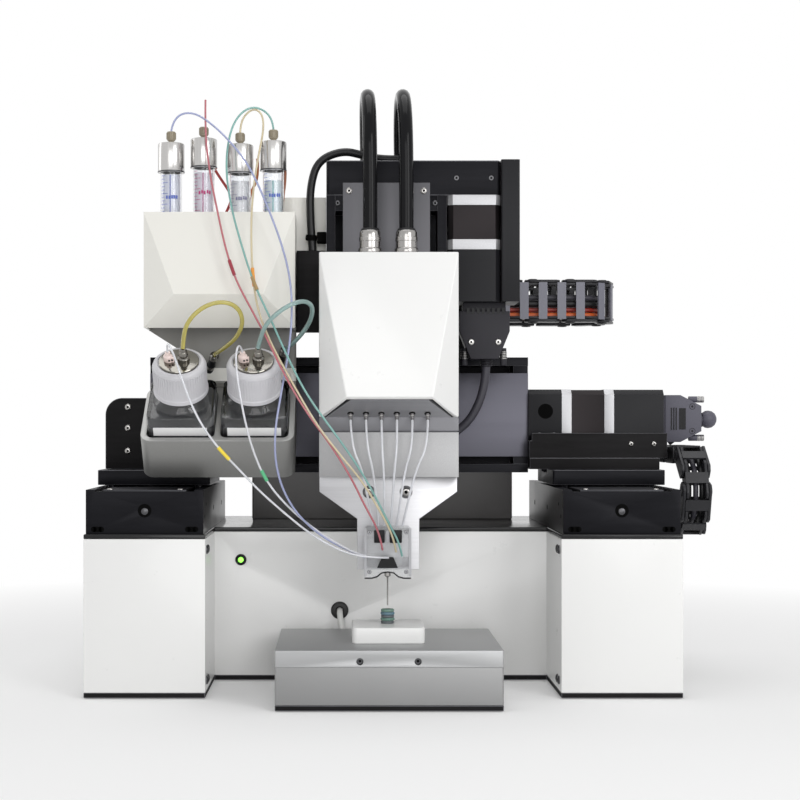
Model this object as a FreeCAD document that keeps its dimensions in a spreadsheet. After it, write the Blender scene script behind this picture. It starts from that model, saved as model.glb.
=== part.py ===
import FreeCAD, Part
import itertools
import math
import os
import Sketcher

# Desktop extrusion bioprinter: a U-shaped base with a print bed, two Y stages, an X stage that
# bridges them, a Z stage with the print head, and a module of sample tubes and reagent bottles.
# X runs to the right, Y to the back and Z up. The origin lies on the table, on the centre plane,
# in line with the front faces of the two side housings. Every length is in millimetres.

Vector = FreeCAD.Vector
Turn = FreeCAD.Rotation
X_AXIS = Vector(1, 0, 0)
Y_AXIS = Vector(0, 1, 0)
Z_AXIS = Vector(0, 0, 1)

# Driving dimensions
SIZES = {
    # base
    "base_width": 458.0,
    "base_depth": 250.0,
    "housing_width": 93.0,
    "panel_setback": 87.0,
    "plate_thickness": 4.0,
    "shell_height": 117.4,
    "sheet_thickness": 2.0,
    "deck_thickness": 3.6,
    "lamp_inset": 21.6,
    "lamp_z": 98.4,
    "lamp_radius": 3.2,
    "grommet_x": -33.5,
    "grommet_z": 57.0,
    # print bed
    "bed_centre": 3.0,
    "bed_width": 167.0,
    "bed_front": -55.0,
    "bed_depth": 126.0,
    "bed_block_height": 27.8,
    "bed_plate_height": 12.2,
    "bed_edge": 0.8,
    "chuck_width": 55.0,
    "chuck_depth": 53.0,
    "chuck_height": 12.2,
    "chuck_corner": 4.0,
    "needle_axis_x": 3.5,
    "needle_axis_y": 9.0,
    "sample_diameter": 11.0,
    "sample_ring": 2.2,
    "sample_bore": 5.0,
    # linear stages
    "stage_web": 8.0,
    "stage_wall": 7.0,
    "stage_slot": 6.0,
    "stage_end": 12.0,
    "strip_thickness": 1.5,
    "rail_width": 9.0,
    "rail_height": 8.0,
    "rail_spacing": 46.0,
    "screw_height": 18.0,
    "screw_radius": 4.0,
    "journal_radius": 3.0,
    "running_fit": 0.05,
    "saddle_thickness": 12.0,
    "saddle_lift": 1.5,
    "saddle_length": 100.0,
    "leg_thickness": 4.0,
    "bridge_thickness": 5.0,
    "block_width": 20.0,
    "block_length": 32.0,
    "y_stage_width": 90.0,
    "y_stage_height": 34.0,
    "y_stage_front": 2.0,
    "y_stage_length": 220.0,
    "y_saddle_front": 60.0,
    "xz_stage_width": 95.0,
    "xz_stage_height": 36.0,
    "x_stage_overhang": 7.5,
    "x_stage_seat": 3.0,
    "x_stage_length": 312.0,
    "x_stage_front": 98.0,
    "z_stage_rise": 11.5,
    "z_stage_length": 209.0,
    "z_saddle_rise": 14.0,
    # motors
    "motor_size": 42.0,
    "motor_corner": 4.0,
    "bell_length": 8.0,
    "stack_length": 27.0,
    "encoder_length": 41.0,
    "coupling_length": 27.5,
    "y_coupling_size": 32.0,
    "y_coupling_length": 31.0,
    # gantry brackets
    "upright_thickness": 10.0,
    "upright_inset": 2.0,
    "upright_height": 58.5,
    "upright_corner": 14.0,
    "mount_thickness": 9.0,
    "bracket_thickness": 6.0,
    "bracket_lip": 20.5,
    # drag chains
    "chain_wall": 2.2,
    "x_chain_width": 36.0,
    "x_chain_pitch": 16.0,
    "y_chain_width": 23.0,
    "y_chain_pitch": 18.5,
    "x_chain_rise": 134.0,
    "chain_tray_rise": 34.0,
    "chain_tray_width": 22.0,
    # z drive
    "adapter_thickness": 7.0,
    "adapter_height": 164.0,
    "drive_height": 28.0,
    "z_motor_offset": 69.2,
    # print head
    "head_width": 106.4,
    "head_depth": 31.0,
    "cover_height": 125.8,
    "cover_wall": 2.5,
    "nose_width": 65.0,
    "nose_reach": 22.0,
    "nose_height": 14.8,
    "port_block_height": 45.9,
    "head_drop": 26.3,
    "port_radius": 1.6,
    "port_spacing": 11.7,
    "nozzle_plate_thickness": 12.0,
    "tongue_width": 48.0,
    "shoulder_height": 11.7,
    "taper_height": 21.0,
    "tongue_height": 39.0,
    "cartridge_width": 36.0,
    "cartridge_height": 40.0,
    "cartridge_thickness": 10.0,
    "needle_length": 25.6,
    "needle_radius": 0.55,
    "hose_radius": 5.6,
    "fitting_radius": 8.4,
    "fitting_height": 18.0,
    "hose_spacing": 27.9,
    # reservoir module
    "module_left": -185.5,
    "module_width": 117.5,
    "shroud_rise": 193.0,
    "shroud_height": 90.0,
    "shroud_front": 20.0,
    "shroud_back": 50.0,
    "shroud_wall": 2.0,
    "panel_thickness": 5.0,
    "panel_drop": 48.0,
    "gas_port_drop": 20.0,
    "tube_radius": 8.3,
    "tube_length": 118.0,
    "tube_cap_radius": 10.4,
    "tube_cap_height": 23.0,
    "tube_y": 34.0,
    "tray_tilt": 38.0,
    "tray_depth": 68.0,
    "tray_height": 36.0,
    "tray_wall": 4.5,
    "tray_front": 16.2,
    "tray_drop": 116.1,
    "bottle_side": 51.0,
    "bottle_height": 54.5,
    "bottle_cap_radius": 20.5,
    "bottle_cap_height": 27.0,
    # small clearances
    "seat": 0.3,
    # units on and in the base
    "control_height": 107.0,
    "control_depth": 46.0,
    "supply_depth": 92.0,
    "supply_height": 42.0,
    "supply_inset": 28.0,
    "board_depth": 100.0,
}

doc = FreeCAD.newDocument("bioprinter")
sheet = doc.addObject("Spreadsheet::Sheet", "sizes")
for row, (alias, number) in enumerate(SIZES.items(), start=1):
    sheet.set(f"A{row}", alias)
    sheet.set(f"B{row}", str(number))
    sheet.setAlias(f"B{row}", alias)
doc.recompute()


class Size:
    """A length that knows its number and the expression on the sheet that gives it."""

    def __init__(self, number, text):
        self.number = number
        self.text = text

    def __float__(self):
        return self.number

    def __neg__(self):
        return Size(-self.number, f"(0 - {self.text})")

    def __add__(self, other):
        return Size(self.number + float(other), f"({self.text} + {text_of(other)})")

    def __radd__(self, other):
        return Size(float(other) + self.number, f"({text_of(other)} + {self.text})")

    def __sub__(self, other):
        return Size(self.number - float(other), f"({self.text} - {text_of(other)})")

    def __rsub__(self, other):
        return Size(float(other) - self.number, f"({text_of(other)} - {self.text})")

    def __mul__(self, other):
        return Size(self.number * float(other), f"({self.text} * {text_of(other)})")

    def __rmul__(self, other):
        return self * other

    def __truediv__(self, other):
        return Size(self.number / float(other), f"({self.text} / {text_of(other)})")


class Sheet:
    """The sizes of the sheet by name, such as s.base_width."""

    def __getattr__(self, alias):
        return Size(float(sheet.get(alias)), f"sizes.{alias}")


def text_of(value):
    """The expression of a size, or a plain number as text."""
    if isinstance(value, Size):
        return value.text
    return f"({float(value):.6f})"


def bind(thing, prop, value):
    thing.setExpression(prop, text_of(value))


s = Sheet()
nodes = {}


# Building blocks
def stand(thing, x, y, z, turn=None):
    """Gives a thing its place, bound to the sheet, and its turn."""
    thing.Placement = FreeCAD.Placement(Vector(), turn or Turn())
    bind(thing, "Placement.Base.x", x)
    bind(thing, "Placement.Base.y", y)
    bind(thing, "Placement.Base.z", z)
    return thing


def block(x0, x1, y0, y1, z0, z1):
    """A block between two corners."""
    thing = doc.addObject("Part::Box", "block")
    bind(thing, "Length", x1 - x0)
    bind(thing, "Width", y1 - y0)
    bind(thing, "Height", z1 - z0)
    return stand(thing, x0, y0, z0)


ALONG = {"x": Turn(Y_AXIS, 90), "y": Turn(X_AXIS, -90), "z": Turn()}


def rod(x, y, z, radius, length, along="z"):
    """A round bar that starts at a point and runs along +X, +Y or +Z."""
    thing = doc.addObject("Part::Cylinder", "rod")
    bind(thing, "Radius", radius)
    bind(thing, "Height", length)
    return stand(thing, x, y, z, ALONG[along])


def joined(*things):
    thing = doc.addObject("Part::MultiFuse", "joined")
    thing.Shapes = list(things)
    thing.Refine = True
    return thing


def cut(base, *tools):
    thing = doc.addObject("Part::Cut", "cut")
    thing.Base = base
    thing.Tool = tools[0] if len(tools) == 1 else joined(*tools)
    return thing


def group(*things):
    """Separate solids that share one node."""
    thing = doc.addObject("Part::Compound", "group")
    thing.Links = list(things)
    return thing


def formed(shape):
    """A shape that no ready-made feature gives."""
    thing = doc.addObject("Part::Feature", "formed")
    thing.Shape = shape
    return thing


def rounded(base, radius, along, pick=None, kind="Part::Fillet"):
    """Rounds or chamfers the straight edges that run along an axis."""
    doc.recompute()
    chosen = []
    for number, edge in enumerate(base.Shape.Edges, start=1):
        if not isinstance(edge.Curve, Part.Line):
            continue
        direction = edge.tangentAt(edge.FirstParameter)
        if abs(direction.dot(along)) < 0.999:
            continue
        if pick is None or pick(edge.CenterOfMass):
            chosen.append((number, float(radius), float(radius)))
    thing = doc.addObject(kind, "rounded")
    thing.Base = base
    thing.Edges = chosen
    return thing


def outline(body, role, *loops, offset=0.0):
    """A sketch of closed loops of corners on one of the body's own planes."""
    sketch = body.newObject("Sketcher::SketchObject", "outline")
    plane = next(f for f in body.Origin.OriginFeatures if f.Role == role)
    sketch.AttachmentSupport = (plane, [""])
    sketch.MapMode = "FlatFace"
    bind(sketch, ".AttachmentOffset.Base.z", offset)
    for corners in loops:
        first = sketch.GeometryCount
        count = len(corners)
        for i, (across, up) in enumerate(corners):
            end = corners[(i + 1) % count]
            line = Part.LineSegment(
                Vector(float(across), float(up), 0), Vector(float(end[0]), float(end[1]), 0)
            )
            sketch.addGeometry(line)
        for i, corner in enumerate(corners):
            following = first + (i + 1) % count
            sketch.addConstraint(Sketcher.Constraint("Coincident", first + i, 2, following, 1))
            for kind, value in zip(("DistanceX", "DistanceY"), corner):
                rule = Sketcher.Constraint(kind, -1, 1, first + i, 1, float(value))
                number = sketch.addConstraint(rule)
                sketch.setExpression(f"Constraints[{number}]", text_of(value))
    return sketch


def ring_sketch(body, role, rings, offset=0.0):
    """A sketch of circles, each (across, up, radius), on one of the body's own planes."""
    sketch = body.newObject("Sketcher::SketchObject", "rings")
    plane = next(f for f in body.Origin.OriginFeatures if f.Role == role)
    sketch.AttachmentSupport = (plane, [""])
    sketch.MapMode = "FlatFace"
    bind(sketch, ".AttachmentOffset.Base.z", offset)
    for across, up, radius in rings:
        centre = Vector(float(across), float(up), 0)
        item = sketch.addGeometry(Part.Circle(centre, Z_AXIS, float(radius)))
        rules = (
            (Sketcher.Constraint("DistanceX", -1, 1, item, 3, float(across)), across),
            (Sketcher.Constraint("DistanceY", -1, 1, item, 3, float(up)), up),
            (Sketcher.Constraint("Radius", item, float(radius)), radius),
        )
        for rule, value in rules:
            number = sketch.addConstraint(rule)
            sketch.setExpression(f"Constraints[{number}]", text_of(value))
    return sketch


def new_body(label):
    return doc.addObject("PartDesign::Body", label)


def pad(body, sketch, length, back=False):
    feature = body.newObject("PartDesign::Pad", "pad")
    feature.Profile = sketch
    feature.Reversed = back
    bind(feature, "Length", length)
    return feature


def pocket(body, sketch, depth, back=False):
    feature = body.newObject("PartDesign::Pocket", "pocket")
    feature.Profile = sketch
    feature.Reversed = back
    bind(feature, "Length", depth)
    return feature


def turned(label, profile):
    """A lathe part about its own Z axis, from a profile of (radius, height) corners."""
    body = new_body(label)
    sketch = outline(body, "XZ_Plane", profile)
    feature = body.newObject("PartDesign::Revolution", "revolution")
    feature.Profile = sketch
    feature.ReferenceAxis = (sketch, ["V_Axis"])
    feature.Angle = 360
    return body


def prism(corners, thickness, label="prism"):
    """A plate: corners in XY, extruded upwards by its thickness, as a PartDesign body."""
    body = new_body(label)
    pad(body, outline(body, "XY_Plane", corners), thickness)
    return body


def convex(points):
    """The solid whose corners are the points and whose faces are all flat."""
    spots = [Vector(*(float(v) for v in point)) for point in points]
    middle = sum(spots, Vector()) * (1.0 / len(spots))
    planes = {}
    for a, b, c in itertools.combinations(spots, 3):
        normal = (b - a).cross(c - a)
        if normal.Length < 1e-6:
            continue
        normal.normalize()
        if normal.dot(middle - a) > 0:
            normal = -normal
        if all(normal.dot(p - a) < 1e-5 for p in spots):
            key = (round(normal.x, 4), round(normal.y, 4), round(normal.z, 4))
            planes.setdefault(key, (normal, a))
    faces = []
    for normal, start in planes.values():
        rim = [p for p in spots if abs(normal.dot(p - start)) < 1e-4]
        centre = sum(rim, Vector()) * (1.0 / len(rim))
        across = (rim[0] - centre).normalize()
        up = normal.cross(across)
        rim.sort(key=lambda p: math.atan2((p - centre).dot(up), (p - centre).dot(across)))
        faces.append(Part.Face(Part.makePolygon(rim + [rim[0]])))
    return Part.Solid(Part.Shell(faces))


def add(name, thing):
    """Makes a thing a sub-part of its own, under a name a person would use."""
    thing.Label = name
    nodes[name] = thing
    return thing


# Cords: straight runs joined by tangent arcs
def cord_path(points):
    spots = [Vector(*(float(v) for v in point)) for point in points]
    edges = []
    radii = []
    last = spots[0]
    for before, corner, after in zip(spots, spots[1:], spots[2:]):
        come = before - corner
        leave = after - corner
        half = (math.pi - come.getAngle(leave)) / 2
        trim = 0.45 * min(come.Length, leave.Length)
        radii.append(trim / math.tan(half))
        start = corner + come.normalize() * trim
        end = corner + leave.normalize() * trim
        inward = (come + leave).normalize()
        centre_distance = radii[-1] / math.cos(half)
        middle = corner + inward * (centre_distance - radii[-1])
        edges.append(Part.LineSegment(last, start).toShape())
        edges.append(Part.Arc(start, middle, end).toShape())
        last = end
    edges.append(Part.LineSegment(last, spots[-1]).toShape())
    return Part.Wire(edges), radii


def cord(name, points, radius):
    """A round tube along a route. Its volume has to be its section times its length."""
    path, radii = cord_path(points)
    start = path.Edges[0]
    direction = start.tangentAt(start.FirstParameter)
    ring = Part.Circle(start.valueAt(start.FirstParameter), direction, float(radius))
    section = Part.Wire(ring.toShape())
    solid = path.makePipeShell([section], True, False)
    expected = math.pi * float(radius) ** 2 * path.Length
    if abs(solid.Volume / expected - 1) > 0.02:
        raise ValueError(f"{name}: the tube's volume is {solid.Volume / expected:.3f} of its length")
    low = min(radii) / (2 * float(radius))
    print(f"{name}: length {path.Length:.0f}, smallest radius {low:.1f} diameters")
    return formed(solid)


# Levels and centres that several pieces share
deck_top = s.plate_thickness + s.shell_height + s.deck_thickness
half_base = s.base_width / 2
inner_side = half_base - s.housing_width
bed_left = s.bed_centre - s.bed_width / 2
bed_right = s.bed_centre + s.bed_width / 2
bed_block_top = s.plate_thickness + s.bed_block_height
bed_top = bed_block_top + s.bed_plate_height
chuck_top = bed_top + s.chuck_height
lamp_x = -inner_side + s.lamp_inset
y_stage_centre = half_base - s.housing_width / 2
saddle_top = deck_top + s.y_stage_height + s.saddle_lift + s.saddle_thickness
x_stage_bottom = saddle_top - s.x_stage_seat
x_stage_left = -y_stage_centre - s.x_stage_overhang
x_stage_back = s.x_stage_front + s.xz_stage_height
z_stage_bottom = x_stage_bottom + s.z_stage_rise
z_left = s.needle_axis_x - s.xz_stage_width / 2
z_right = s.needle_axis_x + s.xz_stage_width / 2
head_bottom = z_stage_bottom + s.z_saddle_rise - s.head_drop
shroud_top = z_stage_bottom + s.shroud_rise
shroud_bottom = shroud_top - s.shroud_height
tray_low = shroud_bottom - s.tray_drop


# Base
def u_outline(inset=0.0, tongue=False):
    """The plan of the base: two side housings and a panel set back between them."""
    front = [
        (-half_base + inset, 0.0 + inset),
        (-inner_side - inset, 0.0 + inset),
        (-inner_side - inset, s.panel_setback + inset),
    ]
    if tongue:
        front += [
            (bed_left, s.panel_setback + inset),
            (bed_left, s.bed_front),
            (bed_right, s.bed_front),
            (bed_right, s.panel_setback + inset),
        ]
    back = [
        (inner_side + inset, s.panel_setback + inset),
        (inner_side + inset, 0.0 + inset),
        (half_base - inset, 0.0 + inset),
        (half_base - inset, s.base_depth - inset),
        (-half_base + inset, s.base_depth - inset),
    ]
    return front + back


def base():
    plate = prism(u_outline(tongue=True), s.plate_thickness, "plate")
    add("base_plate", plate)

    shell = new_body("shell")
    bottom = s.plate_thickness
    pad(shell, outline(shell, "XY_Plane", u_outline(), offset=bottom), s.shell_height)
    inside = outline(shell, "XY_Plane", u_outline(s.sheet_thickness), offset=bottom)
    pocket(shell, inside, s.shell_height, back=True)
    panel_holes = (
        (lamp_x, s.lamp_z, s.lamp_radius),
        (s.grommet_x, s.grommet_z, 5.2),
    )
    holes = ring_sketch(shell, "XZ_Plane", panel_holes, offset=-s.panel_setback + 1)
    pocket(shell, holes, s.sheet_thickness + 2)
    add_shell_openings(shell)

    deck = prism(u_outline(), s.deck_thickness, "deck")
    stand(deck, 0, 0, s.plate_thickness + s.shell_height)
    add("deck_plate", deck)


# The rear wall: power inlet, rocker switch and cooling slots
inlet_x = half_base - 60.0
switch_x = inlet_x - 45.0
rear_low = s.plate_thickness + 24.0
switch_width = 13.0
switch_height = 19.2
inlet_radius = 8.0


def add_shell_openings(shell):
    rear = s.base_depth - s.sheet_thickness - 1
    wall = s.sheet_thickness + 2
    window = [
        (switch_x - switch_width / 2, rear_low - switch_height / 2),
        (switch_x + switch_width / 2, rear_low - switch_height / 2),
        (switch_x + switch_width / 2, rear_low + switch_height / 2),
        (switch_x - switch_width / 2, rear_low + switch_height / 2),
    ]
    slots = []
    for number in range(8):
        left = -half_base + 60.0 + 10.0 * number
        slots.append(
            [
                (left, rear_low),
                (left + 4.0, rear_low),
                (left + 4.0, rear_low + 50.0),
                (left, rear_low + 50.0),
            ]
        )
    pocket(shell, outline(shell, "XZ_Plane", window, *slots, offset=-rear), wall)
    round_hole = ring_sketch(
        shell, "XZ_Plane", [(inlet_x, rear_low, inlet_radius + 0.2)], offset=-rear
    )
    pocket(shell, round_hole, wall)
    add("base_shell", shell)


def panel_fittings():
    """What sits in the openings of the shell: lamp, cable grommet, power inlet, rocker."""
    lamp_hole = s.lamp_radius
    bezel = turned(
        "bezel",
        [
            (0.0, -s.sheet_thickness - 3.0),
            (lamp_hole - 0.2, -s.sheet_thickness - 3.0),
            (lamp_hole - 0.2, 0.0),
            (lamp_hole + 1.0, 0.0),
            (lamp_hole + 1.0, 0.8),
            (lamp_hole - 0.7, 1.6),
            (lamp_hole - 1.4, 2.4),
            (0.0, 2.9),
        ],
    )
    add("status_lamp", stand(bezel, lamp_x, s.panel_setback, s.lamp_z, Turn(X_AXIS, 90)))

    ring = turned(
        "ring",
        [
            (cable_radius + 0.1, -s.sheet_thickness - 2.0),
            (5.0, -s.sheet_thickness - 2.0),
            (5.0, 0.0),
            (7.0, 0.0),
            (7.0, 1.4),
            (5.6, 2.6),
            (cable_radius + 0.1, 2.6),
        ],
    )
    place = (s.grommet_x, s.panel_setback, s.grommet_z, Turn(X_AXIS, 90))
    add("cable_grommet", stand(ring, *place))

    socket = turned(
        "socket",
        [
            (0.0, -18.0),
            (inlet_radius, -18.0),
            (inlet_radius, 0.0),
            (inlet_radius + 3.0, 0.0),
            (inlet_radius + 3.0, 2.2),
            (inlet_radius - 1.6, 2.2),
            (inlet_radius - 1.6, -8.0),
            (0.0, -8.0),
        ],
    )
    pins = []
    for number in range(4):
        angle = math.radians(45 + 90 * number)
        pins.append(rod(3.4 * math.cos(angle), 3.4 * math.sin(angle), -8.0, 0.8, 8.0))
    inlet = group(socket, *pins)
    stand(inlet, inlet_x, s.base_depth, rear_low, Turn(X_AXIS, -90))

    frame_width = switch_width - 0.4
    frame_height = switch_height - 0.4
    body = block(-frame_width / 2, frame_width / 2, -14.0, 0.0, -frame_height / 2, frame_height / 2)
    flange = block(
        -frame_width / 2 - 1, frame_width / 2 + 1, 0.0, 1.6, -frame_height / 2 - 1, frame_height / 2 + 1
    )
    well = block(-5.0, 5.0, -6.0, 3.0, -8.0, 8.0)
    holder = cut(joined(body, flange), well)
    stand(holder, switch_x, s.base_depth, rear_low)
    add("rear_inlets", group(inlet, holder))

    rocker = prism([(-7.0, -0.4), (0.0, 0.8), (7.0, 3.0), (6.4, -1.2), (0.0, -3.0), (-6.4, -3.2)], 9.4)
    place = Turn(Vector(0, 0, 1), Vector(0, 1, 0), Vector(-1, 0, 0), "XYZ")
    add("power_switch", stand(rocker, switch_x + 4.7, s.base_depth, rear_low, place))


def electronics():
    """The supply and the control board inside the base, both on the base plate."""
    low = s.plate_thickness
    back = s.base_depth - s.supply_inset
    front = back - s.supply_depth
    case = rounded(block(20.0, 178.0, front, back, low, low + s.supply_height), 1.5, Z_AXIS)
    terminals = block(178.0, 190.0, front + 10.0, back - 10.0, low, low + 18.0)
    supply = joined(case, terminals)
    board_low = low + 8.0
    board_back = back + 3.0
    board_front = board_back - s.board_depth
    board = block(-190.0, -30.0, board_front, board_back, board_low, board_low + 1.6)
    rows = (board_front + 6.0, board_back - 6.0)
    posts = [rod(x, y, low, 3.0, 8.0) for x in (-184.0, -36.0) for y in rows]
    chip_top = board_low + 1.6
    chips = [
        block(-170.0, -140.0, back - 72.0, back - 42.0, chip_top, chip_top + 3.0),
        block(-120.0, -108.0, back - 72.0, back - 22.0, chip_top, chip_top + 12.0),
        block(-96.0, -84.0, back - 72.0, back - 22.0, chip_top, chip_top + 12.0),
        block(-70.0, -40.0, back - 17.0, back, chip_top, chip_top + 10.0),
    ]
    add("electronics", group(supply, joined(board, *posts, *chips)))


def print_bed():
    """The heated block, its top plate, the vacuum chuck and a printed stack of rings."""
    back = s.bed_front + s.bed_depth
    lower = block(bed_left, bed_right, s.bed_front, back, s.plate_thickness, bed_block_top)
    add("bed_block", rounded(lower, s.bed_edge, Z_AXIS, kind="Part::Chamfer"))

    upper = block(bed_left, bed_right, s.bed_front, back, bed_block_top, bed_top)
    upper = rounded(upper, s.bed_edge, Z_AXIS, kind="Part::Chamfer")
    pits = []
    for offset in (-21.4, 21.0):
        pits.append(rod(s.bed_centre + offset, s.bed_front - 1, bed_top - 8.0, 2.6, 4.5, "y"))
    add("bed_plate", cut(upper, *pits))

    left = s.needle_axis_x - s.chuck_width / 2
    front = s.needle_axis_y - s.chuck_depth / 2 - 2.5
    chuck = new_body("chuck")
    plan = [
        (left, front),
        (left + s.chuck_width, front),
        (left + s.chuck_width, front + s.chuck_depth),
        (left, front + s.chuck_depth),
    ]
    pad(chuck, outline(chuck, "XY_Plane", plan), s.chuck_height)
    stand(chuck, 0, 0, bed_top)
    soft = rounded(chuck, s.chuck_corner, Z_AXIS)
    add("chuck", soft)

    rings = []
    outer = s.sample_diameter / 2
    for number in range(5):
        inset = 0.0 if number % 2 else 0.35
        wide = outer - inset
        profile = [
            (s.sample_bore / 2, number * s.sample_ring),
            (wide - 0.4, number * s.sample_ring),
            (wide, (number + 0.5) * s.sample_ring),
            (wide - 0.4, (number + 1) * s.sample_ring),
            (s.sample_bore / 2, (number + 1) * s.sample_ring),
        ]
        ring = turned("ring", profile)
        rings.append(stand(ring, s.needle_axis_x, s.needle_axis_y, chuck_top))
    add("printed_sample", group(*rings))


# Linear stages
TURN_Y_STAGE = Turn(Z_AXIS, 90)
TURN_X_STAGE = Turn(X_AXIS, 90)
TURN_Z_STAGE = Turn(Vector(0, 0, 1), Vector(-1, 0, 0), Vector(0, -1, 0), "XYZ")


def stage_channel(width, height, length):
    """The extruded channel with an end plate and a screw bearing at each end, and its rails."""
    half = width / 2
    wall = half - s.stage_wall
    body = new_body("channel")
    section = [
        (-half, 0.0),
        (half, 0.0),
        (half, height),
        (wall, height),
        (wall, s.stage_web),
        (-wall, s.stage_web),
        (-wall, height),
        (-half, height),
    ]
    pad(body, outline(body, "YZ_Plane", section), length)
    plate_top = height - s.strip_thickness
    plate = [(-half, 0.0), (half, 0.0), (half, plate_top), (-half, plate_top)]
    for start in (0.0, length - s.stage_end):
        pad(body, outline(body, "YZ_Plane", plate, offset=start), s.stage_end)
    bearing = [(0.0, s.screw_height, s.journal_radius + s.running_fit)]
    pocket(body, ring_sketch(body, "YZ_Plane", bearing), length, back=True)
    rails = []
    for side in (-1, 1):
        middle = s.rail_spacing * side / 2
        rails.append(
            block(
                s.stage_end,
                length - s.stage_end,
                middle - s.rail_width / 2,
                middle + s.rail_width / 2,
                s.stage_web,
                s.stage_web + s.rail_height,
            )
        )
    return group(body, *rails)


def stage_strip(width, height, length):
    """The steel strip that covers the screw, with a slot left open along each side."""
    half = width / 2 - s.stage_wall - s.stage_slot
    return group(block(0.0, length, -half, half, height - s.strip_thickness, height))


def stage_screw(length):
    """The lead screw, thinner at both ends where it runs in the end plates."""
    shoulder = s.stage_end + s.seat
    far = length - s.stage_end - s.seat
    profile = [
        (0.0, 1.0),
        (s.journal_radius, 1.0),
        (s.journal_radius, shoulder),
        (s.screw_radius, shoulder),
        (s.screw_radius, far),
        (s.journal_radius, far),
        (s.journal_radius, length - s.seat),
        (0.0, length - s.seat),
    ]
    screw = turned("screw", profile)
    screw.Placement = FreeCAD.Placement(Vector(), Turn(Y_AXIS, 90))
    bind(screw, "Placement.Base.z", s.screw_height)
    return group(screw)


def stage_saddle(width, height):
    """The carriage: a plate above the strip, legs through the slots, blocks on the rails, nut."""
    half = width / 2
    leg = half - s.stage_wall - s.stage_slot / 2
    plate_low = height + s.saddle_lift
    bridge_low = s.stage_web + s.rail_height + 3.0
    bridge_top = bridge_low + s.bridge_thickness
    length = s.saddle_length
    plate = block(0.0, length, -half, half, plate_low, plate_low + s.saddle_thickness)
    pieces = [rounded(plate, 2.0, Z_AXIS)]
    for side in (-1, 1):
        middle = leg * side
        pieces.append(
            block(
                3.0,
                length - 3.0,
                middle - s.leg_thickness / 2,
                middle + s.leg_thickness / 2,
                bridge_low,
                plate_low + 1,
            )
        )
        rail = s.rail_spacing * side / 2
        for start in (3.0, length - 3.0 - s.block_length):
            pieces.append(
                block(
                    start,
                    start + s.block_length,
                    rail - s.block_width / 2,
                    rail + s.block_width / 2,
                    s.stage_web + 2.0,
                    bridge_low + 1,
                )
            )
    pieces.append(block(3.0, length - 3.0, -leg, leg, bridge_low, bridge_top))
    nut_half = 11.0
    nut_low = s.screw_height - 9.0
    nut_top = s.screw_height + 9.0
    pieces.append(block(length / 2 - 18, length / 2 + 18, -nut_half, nut_half, nut_low, nut_top))
    tools = [rod(0.0, 0.0, s.screw_height, s.screw_radius + s.running_fit, length, "x")]
    for side in (-1, 1):
        rail = s.rail_spacing * side / 2
        slot = s.rail_width / 2 + s.running_fit
        slot_top = s.stage_web + s.rail_height + s.running_fit
        tools.append(block(0.0, length, rail - slot, rail + slot, 0.0, slot_top))
    return cut(joined(*pieces), *tools)


def chamfered_square(side, corner):
    h = side / 2
    return [
        (-h + corner, -h),
        (h - corner, -h),
        (h, -h + corner),
        (h, h - corner),
        (h - corner, h),
        (-h + corner, h),
        (-h, h - corner),
        (-h, -h + corner),
    ]


def motor(coupling_size, coupling_length):
    """A stepper motor along its own X: coupling housing, end bells, laminations, encoder."""
    body = new_body("motor")
    start = 0.0
    sections = (
        (coupling_size, coupling_length),
        (s.motor_size, s.bell_length),
        (s.motor_size - 0.8, s.stack_length),
        (s.motor_size, s.bell_length),
        (s.motor_size - 0.4, s.encoder_length),
    )
    for side, length in sections:
        if float(length) <= 0:
            continue
        sketch = outline(body, "YZ_Plane", chamfered_square(side, s.motor_corner), offset=start)
        pad(body, sketch, length)
        start = start + length
    return body


def y_stages():
    """Two equal stages on the deck, one on each side housing."""
    width, height, length = s.y_stage_width, s.y_stage_height, s.y_stage_length
    channels, strips, motors, saddles = [], [], [], []
    for side, name in ((-1, "left"), (1, "right")):
        centre = y_stage_centre * side
        place = (centre, s.y_stage_front, deck_top, TURN_Y_STAGE)
        channels.append(stand(stage_channel(width, height, length), *place))
        strips.append(stand(stage_strip(width, height, length), *place))
        add(f"{name}_y_screw", stand(stage_screw(length), *place))
        rear = s.y_stage_front + length
        drive = motor(s.y_coupling_size, s.y_coupling_length)
        motors.append(stand(drive, centre, rear, deck_top + s.screw_height, TURN_Y_STAGE))
        saddle = stage_saddle(width, height)
        saddles.append(stand(saddle, centre, s.y_saddle_front, deck_top, TURN_Y_STAGE))
    add("y_stages", group(*channels))
    seat_slot = block(
        -half_base,
        half_base,
        s.x_stage_front - s.seat,
        x_stage_back + s.seat,
        x_stage_bottom,
        saddle_top + 1.0,
    )
    add("y_carriages", cut(group(*saddles), seat_slot))
    add("y_strips", group(*strips))
    add("y_motors", group(*motors))


x_stage_middle = x_stage_bottom + s.xz_stage_width / 2
x_stage_right = x_stage_left + s.x_stage_length


def x_stage():
    """The stage that bridges the two Y carriages, its strip facing the front."""
    width, height, length = s.xz_stage_width, s.xz_stage_height, s.x_stage_length
    place = (x_stage_left, x_stage_back, x_stage_middle, TURN_X_STAGE)
    add("x_stage", stand(stage_channel(width, height, length), *place))
    add("x_strip", stand(stage_strip(width, height, length), *place))
    add("x_screw", stand(stage_screw(length), *place))
    drive = motor(s.motor_size, s.coupling_length)
    axis_y = x_stage_back - s.screw_height
    add("x_motor", stand(drive, x_stage_right, axis_y, x_stage_middle, TURN_X_STAGE))
    start = s.needle_axis_x - s.saddle_length / 2
    saddle = stage_saddle(width, height)
    add("x_carriage", stand(saddle, start, x_stage_back, x_stage_middle, TURN_X_STAGE))


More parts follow.
